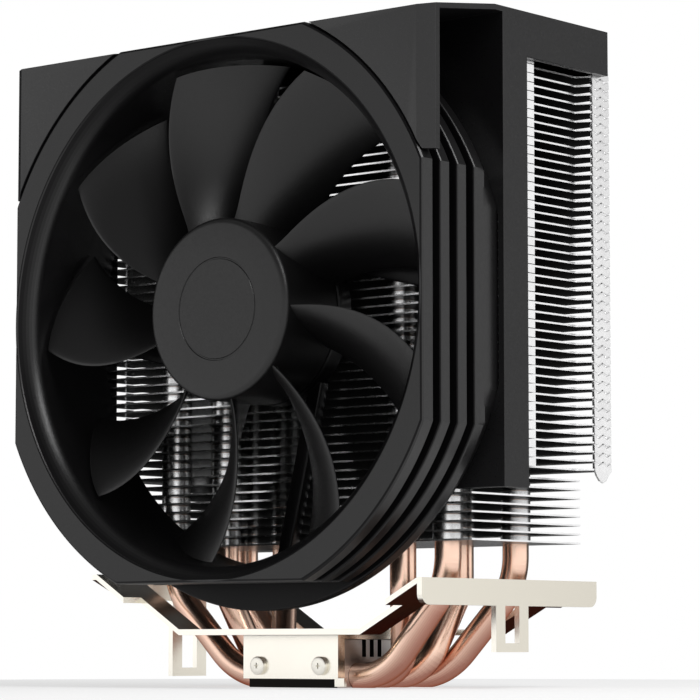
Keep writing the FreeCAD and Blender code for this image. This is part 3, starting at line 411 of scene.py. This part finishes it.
# Painted shade: the sheet's faces that look sideways are darker than those that look forwards.
other_faces(NICKEL, (0.74, 0.70, 0.61), RIGHT, both=True, start=0.8, end=0.95)
# Painted shade: the sheet's downward faces are near black brown, with a darker reflection at a glancing
# angle.
other_faces(NICKEL, (0.12, 0.090, 0.078), DOWN, glancing=(0.25, 0.23, 0.22))
BLOCK = surface("block_aluminium", (0.56, 0.53, 0.51), 1.0, 0.38, grain=1500, grain_height=0.03,
                stretch=(1, 0.3, 9), mottle=0.10, mottle_scale=90.0,
                edge_tint=(0.8, 0.79, 0.77), edge_radius=0.3, edge_amount=0.5)
# Painted shade: the block's front and rear faces are near black, with a darker reflection at a glancing
# angle.
other_faces(BLOCK, (0.012, 0.011, 0.010), BACK, both=True, glancing=(0.1, 0.1, 0.1))
SCREW = surface("screw_steel", (0.92, 0.89, 0.81), 1.0, 0.32, grain=2600, grain_height=0.01, mottle=0.05,
                mottle_scale=300.0, edge_tint=(0.95, 0.95, 0.94), edge_radius=0.2, edge_amount=0.5)
STEEL = surface("yoke_steel", (0.5, 0.5, 0.5), 1.0, 0.4, grain=1800, grain_height=0.02, mottle=0.08)
LAMINATION = surface("lamination_steel", (0.4, 0.4, 0.41), 1.0, 0.45, grain=1600, grain_height=0.05,
                     stretch=(0.2, 8, 0.2), mottle=0.12)
FERRITE = surface("magnet_ferrite", (0.05, 0.05, 0.052), 0.0, 0.7, grain=2600, grain_height=0.06)
BRASS = surface("brass_tube", (0.75, 0.60, 0.32), 1.0, 0.28, grain=1400, stretch=(1, 10, 1))
BRONZE = surface("bearing_bronze", (0.55, 0.38, 0.22), 1.0, 0.55, grain=3200, grain_height=0.08, mottle=0.2)
WIRE = surface("copper_wire", (0.72, 0.34, 0.18), 1.0, 0.3, grain=900, grain_height=0.12, stretch=(1, 12, 12))
WICK = surface("wick_copper", (0.55, 0.28, 0.18), 1.0, 0.7, grain=3600, grain_height=0.1, mottle=0.2)
WHITE_PLASTIC = surface("white_plastic", (0.78, 0.78, 0.75), 0.0, 0.5, grain=1800, mottle=0.04)
BOARD = surface("board_green", (0.03, 0.16, 0.07), 0.0, 0.35, grain=1200, mottle=0.2, mottle_scale=400.0)
CHIP = surface("chip_black", (0.02, 0.02, 0.02), 0.0, 0.55, grain=3000, grain_height=0.05)

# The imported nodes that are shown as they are.
SHOWN_NODES = (
    ("rotor_yoke", STEEL), ("rotor_magnet", FERRITE), ("rotor_shaft", SCREW), ("retaining_ring", SCREW),
    ("bearing_tube", BRASS), ("bearing_sleeve", BRONZE), ("thrust_pad", WHITE_PLASTIC),
    ("stator_core", LAMINATION), ("stator_insulators", WHITE_PLASTIC), ("stator_coils", WIRE),
    ("winding_pins", SCREW), ("motor_board", BOARD), ("board_components", CHIP),
    ("wick_outer_front", WICK), ("wick_outer_rear", WICK), ("wick_inner_front", WICK),
    ("wick_inner_rear", WICK), ("upper_fins", ALUMINIUM), ("lower_fins", ALUMINIUM), ("clip_rivets", SCREW))

for node, material in SHOWN_NODES:
    slots = frame["nodes"][node].data.materials
    if not slots:
        slots.append(material)
    for index in range(len(slots)):
        slots[index] = material

# ---------------------------------------------------------------- fan frame

# Radii about the axis.
CORNER_RADIUS = 67.6
LIP_RADIUS = 60.8
THROAT_RADIUS = 57.8
BARREL_RADIUS = 59.4
RING_REAR_RADIUS = 64.4

# Heights of the flats above and below the axis.
FLANGE_TOP = 61.5
RIB_TOP = 60.0
BOTTOM = 61.5

# Stations behind the front face.
LIP = ((0.0, 0.45), (0.10, 0.18), (0.38, 0.0))  # station, further out than the lip's radius
BELL_STATION = 5.0
FLANGE_END = 3.9
RIBS = ((12.4, 15.6), (6.5, 9.7))  # rear to front
RING_START, RING_BEND = 18.3, 21.3
MOTOR_BASE = [(21.3, 19.2), (24.2, 19.2), (24.2, 0.0), (26.0, 0.0), (26.0, 20.2), (25.85, 20.55),
              (25.5, 20.7), (21.6, 20.7), (21.3, 20.4)]

BELL_STEPS = 8
BELL_POWER = 0.8  # below 1, the bell mouth narrows faster at first
FRAME_STEPS, MOTOR_BASE_STEPS = 720, 120

FLANGE_BEVEL = 0.65
RIB_BEVEL = 0.4
REAR_BEVEL = 0.25
BEVEL_MIDDLE = 0.35  # the share of a bevel at which its middle point lies

STRUT_COUNT = 4
STRUT_PHASE = -52.3
STRUT_LAG = 36.0  # degrees between a strut's inner and outer end
STRUT_STATION = 23.0
STRUT_HALF, STRUT_DEPTH, STRUT_ROUNDING = 1.9, 3.0, 0.6
STRUT_ROOT_RADIUS = 19.9


def outline_radius(radius, inset, top, bottom):
    """The frame's outline about the axis: a circle cut by flats, moved inwards by inset.

    With bottom 0 there is no flat below."""

    def reach(angle):
        turn = math.radians(angle)
        across = abs(math.cos(turn))
        up = math.sin(turn)
        limit = radius
        if across > 0.01:
            limit = min(limit, FLANGE_HALF / across)
        if up > 0.01:
            limit = min(limit, top / up)
        if up < -0.01 and bottom:
            limit = min(limit, bottom / -up)
        return limit - inset

    return reach


def slab_edges(start, end, top, bevel):
    """The outline points of one slab, rear to front, with bevelled rims."""
    points = (
        (end, REAR_BEVEL), (end - REAR_BEVEL * BEVEL_MIDDLE, REAR_BEVEL * BEVEL_MIDDLE),
        (end - REAR_BEVEL, 0.0), (start + bevel, 0.0),
        (start + bevel * BEVEL_MIDDLE, bevel * BEVEL_MIDDLE), (start, bevel))
    return [(station, outline_radius(CORNER_RADIUS, inset, top, BOTTOM)) for station, inset in points]


def fan_frame():
    """One moulding: bell mouth, barrel, rear ring, two ribs, flange, motor base and struts."""
    bm = bmesh.new()
    profile = [(station, LIP_RADIUS + out) for station, out in LIP]
    lip_end = LIP[-1][0]
    for index in range(1, BELL_STEPS + 1):
        share = index / BELL_STEPS
        drop = math.sin(share * math.pi / 2) ** BELL_POWER
        profile.append((lip_end + (BELL_STATION - lip_end) * share,
                        LIP_RADIUS - (LIP_RADIUS - THROAT_RADIUS) * drop))
    profile += [(FAN_DEPTH - 0.4, THROAT_RADIUS), (FAN_DEPTH, THROAT_RADIUS + 0.4)]
    for station, radius, inset in (
            (FAN_DEPTH, RING_REAR_RADIUS, 0.5), (FAN_DEPTH - 0.18, RING_REAR_RADIUS, 0.18),
            (FAN_DEPTH - 0.5, RING_REAR_RADIUS + 0.2, 0.0), (RING_BEND + 0.5, CORNER_RADIUS - 0.22, 0.0),
            (RING_BEND - 0.1, CORNER_RADIUS, 0.0), (RING_START + 0.4, CORNER_RADIUS, 0.0),
            (RING_START + 0.12, CORNER_RADIUS, 0.14), (RING_START, CORNER_RADIUS, 0.4)):
        profile.append((station, outline_radius(radius, inset, RIB_TOP, 0)))
    profile.append((RING_START, BARREL_RADIUS))
    for start, end in RIBS:
        profile.append((end, BARREL_RADIUS))
        profile += slab_edges(start, end, RIB_TOP, RIB_BEVEL)
        profile.append((start, BARREL_RADIUS))
    profile.append((FLANGE_END, BARREL_RADIUS))
    profile += slab_edges(0.0, FLANGE_END, FLANGE_TOP, FLANGE_BEVEL)
    turned(bm, profile, FRAME_STEPS)
    turned(bm, MOTOR_BASE, MOTOR_BASE_STEPS)
    for number in range(STRUT_COUNT):
        strut(bm, STRUT_PHASE + 360.0 / STRUT_COUNT * number)
    return make_piece("fan_frame_moulding", bm, PLASTIC, "cooler", ["fan_frame"])


def strut(bm, start_angle):
    """A straight swept bar with rounded edges between the motor base and the barrel."""
    inner = around_axis(start_angle, STRUT_ROOT_RADIUS, STRUT_STATION)
    outer = around_axis(start_angle - STRUT_LAG, THROAT_RADIUS + 0.5, STRUT_STATION)
    along = (outer - inner).normalized()
    across = along.cross(Vector((0, 1, 0))).normalized()
    outline = rounded_outline([(-STRUT_HALF, 0.0), (STRUT_HALF, 0.0), (STRUT_HALF, STRUT_DEPTH),
                               (-STRUT_HALF, STRUT_DEPTH)], STRUT_ROUNDING)
    rows = []
    for spot in (inner, outer):
        rows.append([bm.verts.new(spot + across * p.x + Vector((0, p.y, 0))) for p in outline])
    skinned(bm, rows)


# ---------------------------------------------------------------- rotor

HUB_FACE, HUB_REAR = 3.1, 20.6  # stations
HUB_RADIUS, HUB_BORE = 20.7, 19.5
HUB_ROUNDING, HUB_ROUNDING_STEPS = 1.5, 6
HUB_WALL = 1.6
HUB_STEPS = 180
HUB_RING = [(0.0, 11.75), (0.22, 11.60), (0.22, 11.35), (0.0, 11.20)]  # a shallow groove in the face

BLADE_COUNT = 9
BLADE_PHASE = 27.0
BLADE_ROOT, BLADE_TIP = 20.2, 56.9  # radii
BLADE_TURN = 24.0  # degrees that a blade takes up about the axis
BLADE_LAG = 13.0  # degrees that its tip lags
BLADE_STATION, STATION_GAIN = 5.2, 0.08  # the gain from root to tip, as a share of the depth
BLADE_DEPTH, DEPTH_LOSS = 15.0, 0.15  # each loss is the share lost from root to tip
BLADE_THICKNESS, THICKNESS_LOSS = 1.5, 0.35
TRAILING_LOSS = 0.25  # the share of thickness moved from the trailing to the leading half
BLADE_CAMBER = 0.10
BLADE_EDGE = 0.22  # the thickness that is left at the edges
BLADE_SPANS, BLADE_CHORDS = 14, 16
ROOT_FILLET = 1.2
ROOT_SPAN = 0.12  # the share of the span that the fillet takes


def hub():
    """A cup with a rounded rim and a shallow ring in its face."""
    bm = bmesh.new()
    profile = [(HUB_FACE + HUB_WALL, 0.0), (HUB_FACE + HUB_WALL, HUB_BORE), (HUB_REAR, HUB_BORE),
               (HUB_REAR, HUB_RADIUS - 0.1), (HUB_REAR - 0.1, HUB_RADIUS),
               (HUB_FACE + HUB_ROUNDING, HUB_RADIUS)]
    for step in range(1, HUB_ROUNDING_STEPS + 1):
        turn = math.radians(90 * step / HUB_ROUNDING_STEPS)
        profile.append((HUB_FACE + HUB_ROUNDING * (1 - math.sin(turn)),
                        HUB_RADIUS - HUB_ROUNDING * (1 - math.cos(turn))))
    profile += [(HUB_FACE + depth, radius) for depth, radius in HUB_RING] + [(HUB_FACE, 0.0)]
    turned(bm, profile, HUB_STEPS)
    return make_piece("rotor_hub", bm, ROTOR, "rotor", ["rotor_shell"])


def blade_point(angle, span, chord, side):
    """A point on a blade: span 0 to 1 outwards, chord -1 (leading) to 1, side -1 front or 1 rear."""
    radius = BLADE_ROOT + (BLADE_TIP - BLADE_ROOT) * span
    depth = BLADE_DEPTH * (1 - DEPTH_LOSS * span)
    front = BLADE_STATION + BLADE_DEPTH * STATION_GAIN * span
    middle = angle - BLADE_LAG * span * span
    camber = BLADE_CAMBER * depth
    station = front + depth * (chord + 1) / 2 + camber * (chord * chord - 1)
    section = math.sqrt(max(0.0, 1 - chord ** 2)) * (1 - TRAILING_LOSS * chord)
    thickness = BLADE_THICKNESS * (1 - THICKNESS_LOSS * span) * section + BLADE_EDGE
    if span < ROOT_SPAN:
        thickness += ROOT_FILLET * (1 - span / ROOT_SPAN) ** 2
    return around_axis(middle - chord * BLADE_TURN / 2, radius, station + side * thickness / 2)


def blades():
    """Closed blades whose inner ends lie inside the hub's wall."""
    bm = bmesh.new()
    spans = [0.0, 0.03, 0.07, ROOT_SPAN]
    spans += [ROOT_SPAN + (1 - ROOT_SPAN) * n / BLADE_SPANS for n in range(1, BLADE_SPANS + 1)]
    chords = [-math.cos(math.pi * n / BLADE_CHORDS) for n in range(BLADE_CHORDS + 1)]
    for number in range(BLADE_COUNT):
        angle = BLADE_PHASE + 360.0 * number / BLADE_COUNT
        rows = []
        for span in spans:
            front = [bm.verts.new(blade_point(angle, span, chord, -1)) for chord in chords]
            rear = [bm.verts.new(blade_point(angle, span, chord, 1)) for chord in reversed(chords)]
            rows.append(front + rear)
        skinned(bm, rows)
    return make_piece("rotor_blades", bm, ROTOR, "rotor", ["rotor_shell"], BLADE_ANGLE)


# ---------------------------------------------------------------- fins

FIN_PITCH = 2.04
UPPER_COUNT = 45
SCALE_FRONT = 15.2  # the Y at which the rear tab column starts
SCALE_SHEET = 0.45
SCALE_SEAM = 0.32
SCALE_LEAN, LEAN_LOSS = 0.30, 0.13  # out of the column's side at a scale's foot, and what it loses by the top
SCALE_TEETH = ((0.0, 0.0), (0.25, -0.6), (0.5, 0.1), (0.75, -0.6), (1.0, 0.0))  # share of the width, rise
LOWEST_SCALE = ((0.0, 0.0), (0.6, -1.2), (1.6, -2.3), (2.8, -2.8), (4.0, -2.3), (5.0, -1.2))  # back, rise


def tab_scales(side):
    """The rear tab column: interlocking scales, one per fin, the lowest ending in a rounded point."""
    bm = bmesh.new()
    width = FIN_HIGH.y - SCALE_FRONT
    teeth = [(SCALE_FRONT + width * share, rise) for share, rise in SCALE_TEETH]
    lowest = [(SCALE_FRONT + back, rise) for back, rise in LOWEST_SCALE] + [(FIN_HIGH.y, 0.0)]
    for number in range(UPPER_COUNT):
        base = FIN_LOW.z + FIN_PITCH * number
        outline = [(y, base + rise) for y, rise in (teeth if number else lowest)]
        outline += [(y, base + FIN_PITCH - SCALE_SEAM + rise) for y, rise in reversed(teeth)]
        loops = []
        for depth in (SCALE_SHEET, 0.0):
            loop = []
            for y, z in outline:
                lean = SCALE_LEAN - LEAN_LOSS * (z - base) / FIN_PITCH
                loop.append(bm.verts.new((side * (FIN_HIGH.x + lean - depth), y, z)))
            loops.append(loop)
        plate(bm, *loops)
    name = "rear_tab_scales_%s" % ("right" if side > 0 else "left")
    return make_piece(name, bm, TAB, "cooler")


# ---------------------------------------------------------------- heat pipes

PIPE_RADIUS = 3.0
PIPE_SIDES = 40
PIPE_BASE_Z = 2.65
TIP_HEIGHT = 3.0
PIPE_TIP = [(0.45, 2.93), (0.95, 2.70), (1.5, 2.30), (2.1, 1.80), (2.6, 1.45), (2.85, 1.25),
            (3.0, 0.95)]  # above the shoulder, radius
PIPE_RUN = 4.0  # the longest stretch between two rings of a pipe
BEND_STEPS = 14


def route(corners, radius):
    """Straight runs and the arcs that round their corners, as points."""
    points = [corners[0]]
    for index in range(1, len(corners) - 1):
        corner = corners[index]
        before = (corners[index - 1] - corner).normalized()
        after = (corners[index + 1] - corner).normalized()
        half = before.angle(after) / 2
        reach = radius / math.tan(half)
        centre = corner + (before + after).normalized() * (radius / math.sin(half))
        start = corner + before * reach - centre
        end = corner + after * reach - centre
        total = start.angle(end)
        for step in range(BEND_STEPS + 1):
            share = step / BEND_STEPS
            spot = (start * math.sin((1 - share) * total) + end * math.sin(share * total)) / math.sin(total)
            points.append(centre + spot)
    points.append(corners[-1])
    return points


def divided(points, longest):
    """The same line with its long runs cut into shorter ones."""
    line = [points[0]]
    for start, end in zip(points, points[1:]):
        count = max(1, math.ceil((end - start).length / longest))
        line += [start.lerp(end, step / count) for step in range(1, count + 1)]
    return line


def tube(bm, points, radii):
    """A swept tube, closed at both ends and pressed flat where it would pass below the contact face."""
    rows = []
    normal = Vector((0, 1, 0))
    for index, spot in enumerate(points):
        ahead = points[min(index + 1, len(points) - 1)] - points[max(index - 1, 0)]
        ahead.normalize()
        normal = (normal - ahead * normal.dot(ahead)).normalized()
        other = ahead.cross(normal)
        row = []
        for step in range(PIPE_SIDES):
            turn = 2 * math.pi * step / PIPE_SIDES
            place = spot + (normal * math.cos(turn) + other * math.sin(turn)) * radii[index]
            place.z = max(place.z, 0.0)
            row.append(bm.verts.new(place))
        rows.append(row)
    skinned(bm, rows)


def heat_pipe(kind, side, leg_x, leg_y, knee_z, foot_x, lane, bend):
    """A pipe down one leg, through the block and up the other leg, with both tops crimped."""
    node = "heat_pipe_%s_%s" % (kind, side)
    sign = -1 if side == "front" else 1
    shoulder = box_mm(node)[1].z - TIP_HEIGHT
    right = [Vector((leg_x, sign * leg_y, shoulder)), Vector((leg_x, sign * leg_y, knee_z)),
             Vector((foot_x, sign * lane, PIPE_BASE_Z))]
    left = [Vector((-p.x, p.y, p.z)) for p in reversed(right)]
    line = divided(route(right + left, bend), PIPE_RUN)
    start = [Vector((leg_x, sign * leg_y, shoulder + rise)) for rise, radius in reversed(PIPE_TIP)]
    end = [Vector((-leg_x, sign * leg_y, shoulder + rise)) for rise, radius in PIPE_TIP]
    tip_radii = [radius for rise, radius in PIPE_TIP]
    radii = tip_radii[::-1] + [PIPE_RADIUS] * len(line) + tip_radii
    bm = bmesh.new()
    tube(bm, start + line + end, radii)
    return make_piece("pipe_%s_%s" % (kind, side), bm, COPPER, "cooler", [node])


# ---------------------------------------------------------------- screws

SCREW_X, SCREW_Z = 9.3, 5.0
SCREW_SIDES = 48
SCREW_PROFILE = [(-5.0, 1.2), (0.0, 1.2), (0.0, 2.0), (0.12, 2.1), (0.85, 2.1), (1.02, 2.0), (1.10, 1.8),
                 (1.14, 1.2), (1.15, 0.5)]  # out of the saddle's face, radius
RECESS_LONG, RECESS_WIDE = 0.95, 0.24
RECESS_LOOPS = ((0.35, 0.5), (1.0, 1.8))  # taper, out of the saddle's face


def screw_head(bm, x, sign):
    """A pan head and its shank, turned about a line along Y."""
    rows = []
    for step in range(SCREW_SIDES):
        turn = 2 * math.pi * step / SCREW_SIDES
        rows.append([bm.verts.new((x + r * math.cos(turn), sign * (SADDLE_FACE + out),
                                   SCREW_Z + r * math.sin(turn))) for out, r in SCREW_PROFILE])
    grid_faces(bm, rows, True, False)
    bm.faces.new([row[0] for row in rows])
    bm.faces.new([row[-1] for row in rows])


def recess_arm(bm, x, sign, half_x, half_z):
    """One arm of the cross, narrower at its bottom."""
    loops = ([], [])
    for u, v in ((-1, -1), (1, -1), (1, 1), (-1, 1)):
        for loop, (taper, out) in zip(loops, RECESS_LOOPS):
            loop.append(bm.verts.new((x + u * half_x * taper, sign * (SADDLE_FACE + out),
                                      SCREW_Z + v * half_z * taper)))
    plate(bm, *loops)


def subtract(obj, bm):
    """Cut a bmesh in millimetres out of a piece and keep the result as its mesh."""
    bmesh.ops.recalc_face_normals(bm, faces=bm.faces)
    cutter = linked("cutter", mesh_of("cutter", bm))
    modifier = obj.modifiers.new("cut", "BOOLEAN")
    modifier.operation = "DIFFERENCE"
    modifier.solver = "EXACT"
    modifier.use_self = True
    modifier.object = cutter
    graph = bpy.context.evaluated_depsgraph_get()
    result = bpy.data.meshes.new_from_object(obj.evaluated_get(graph))
    obj.modifiers.clear()
    obj.data = result
    shade(result, CUT_ANGLE)
    bpy.data.objects.remove(cutter)


def saddle_screws():
    """Pan heads with a cross recess."""
    heads = bmesh.new()
    cuts = bmesh.new()
    for sign in (-1, 1):
        for x in (-SCREW_X, SCREW_X):
            screw_head(heads, x, sign)
            recess_arm(cuts, x, sign, RECESS_LONG, RECESS_WIDE)
            recess_arm(cuts, x, sign, RECESS_WIDE, RECESS_LONG)
    screws = make_piece("cross_head_screws", heads, SCREW, "cooler", ["saddle_screws"])
    subtract(screws, cuts)


# ---------------------------------------------------------------- all the pieces


fan_frame()
hub()
blades()
make_piece("cover_moulding", softened("shroud", width=0.35), COVER, "cooler",
           ["shroud"])
for side in (-1, 1):
    tab_scales(side)
for side in ("front", "rear"):
    heat_pipe("outer", side, leg_x=41.3, leg_y=12.5, knee_z=23.2, foot_x=22.3, lane=10.5, bend=17.0)
    heat_pipe("inner", side, leg_x=26.9, leg_y=10.6, knee_z=22.5, foot_x=21.4, lane=3.5, bend=9.5)
make_piece("block_milled", softened("base_block", width=0.22), BLOCK, "cooler",
           ["base_block"], FLAT_ANGLE)
make_piece("saddle_sheet", softened("base_saddle", width=0.2), NICKEL, "cooler",
           ["base_saddle"], FLAT_ANGLE)
make_piece("clip_sheet", softened("mounting_clip", width=0.25), NICKEL, "cooler",
           ["mounting_clip"], FLAT_ANGLE)
saddle_screws()

# ---------------------------------------------------------------- floor, light and camera

FLOOR_RADIUS = 200.0
FLOOR_SIDES = 96
FLOOR_DROP = 0.02
FLOOR_GLOW = 0.62

WHITE = (1, 1, 1, 1)
SKY_COLOUR = (1.15, 1.15, 1.15, 1)
# The sky's brightness: first the two ends, 0 straight down and 1 straight up, then the stops between.
SKY_LEVELS = ((0.0, 0.5), (1.0, 0.35), (0.40, 1.0), (0.60, 1.0), (0.72, 0.14))
# A dark patch of sky behind the object on the left: 0 opposite to it, 1 in its middle.
GAP_TOWARDS = (-0.64, 0.77, -0.1)
GAP_LEVELS = ((0.0, 1.0), (1.0, 0.03), (0.62, 1.0), (0.73, 0.05))

CAMERA_PLACE = (0.4796, -0.5713, 0.0091)
CAMERA_HEADING, CAMERA_PITCH = 39.87, 5.34
CAMERA_LENS, CAMERA_SENSOR = 163.8, 36.0


def floor():
    bm = bmesh.new()
    turns = [2 * math.pi * n / FLOOR_SIDES for n in range(FLOOR_SIDES)]
    bm.faces.new([bm.verts.new((FLOOR_RADIUS * math.cos(t), FLOOR_RADIUS * math.sin(t), -FLOOR_DROP))
                  for t in turns])
    mesh = mesh_of("floor", bm)
    material, tree, shader = node_tree("pale_floor")
    for socket, value in (("Base Color", (0.5, 0.5, 0.5, 1)), ("Emission Color", WHITE),
                          ("Emission Strength", FLOOR_GLOW), ("Roughness", 0.7), ("Specular IOR Level", 0.1)):
        shader.inputs[socket].default_value = value
    mesh.materials.append(material)
    linked("floor", mesh)


def lamp(name, place, target, size, power):
    data = bpy.data.lights.new(name, "AREA")
    data.shape = "RECTANGLE"
    data.size, data.size_y = size
    data.energy = power
    obj = linked(name, data)
    obj.location = place
    obj.rotation_mode = "QUATERNION"
    obj.rotation_quaternion = (Vector(place) - Vector(target)).to_track_quat("Z", "Y")


def graded(tree, vector, towards, levels):
    """Brightness over the sky by the angle from one direction, from opposite (0) to facing it (1)."""
    product = add(tree, "ShaderNodeVectorMath", operation="DOT_PRODUCT")
    product.inputs[1].default_value = Vector(towards).normalized()
    tree.links.new(vector, product.inputs[0])
    ramp = add(tree, "ShaderNodeValToRGB")
    elements = ramp.color_ramp.elements
    for index, (position, level) in enumerate(levels):
        element = elements[index] if index < 2 else elements.new(position)
        element.position = position
        element.color = (level, level, level, 1)
    tree.links.new(ranged(tree, product.outputs["Value"], 0.0, 1.0, -1.0, 1.0), ramp.inputs["Fac"])
    return ramp.outputs["Color"]


def world():
    """White to the camera. As a light, bright at the horizon, dim overhead and dark behind on the left."""
    made = bpy.data.worlds.new("studio")
    bpy.context.scene.world = made
    made.use_nodes = True
    tree = made.node_tree
    tree.nodes.clear()
    output = add(tree, "ShaderNodeOutputWorld")
    seen = add(tree, "ShaderNodeBackground", Color=WHITE, Strength=1.0)
    light = add(tree, "ShaderNodeBackground", Color=SKY_COLOUR)
    place = add(tree, "ShaderNodeTexCoord").outputs["Generated"]
    level = graded(tree, place, UP, SKY_LEVELS)
    gap = graded(tree, place, GAP_TOWARDS, GAP_LEVELS)
    product = add(tree, "ShaderNodeMath", operation="MULTIPLY")
    tree.links.new(level, product.inputs[0])
    tree.links.new(gap, product.inputs[1])
    tree.links.new(product.outputs[0], light.inputs["Strength"])
    path = add(tree, "ShaderNodeLightPath")
    choice = add(tree, "ShaderNodeMixShader")
    tree.links.new(path.outputs["Is Camera Ray"], choice.inputs[0])
    tree.links.new(light.outputs[0], choice.inputs[1])
    tree.links.new(seen.outputs[0], choice.inputs[2])
    tree.links.new(choice.outputs[0], output.inputs["Surface"])


def camera():
    data = bpy.data.cameras.new("camera")
    data.sensor_width = CAMERA_SENSOR
    data.lens = CAMERA_LENS
    data.clip_start, data.clip_end = 0.01, 20.0
    obj = linked("camera", data)
    obj.location = CAMERA_PLACE
    obj.rotation_euler = (math.pi / 2 + math.radians(CAMERA_PITCH), 0, math.radians(CAMERA_HEADING))
    bpy.context.scene.camera = obj


floor()
world()
lamp("top_right", place=(0.45, -0.12, 0.5), target=(0.02, 0, 0.02), size=(0.3, 0.3), power=2.0)
camera()
bpy.context.scene.view_settings.view_transform = "Standard"
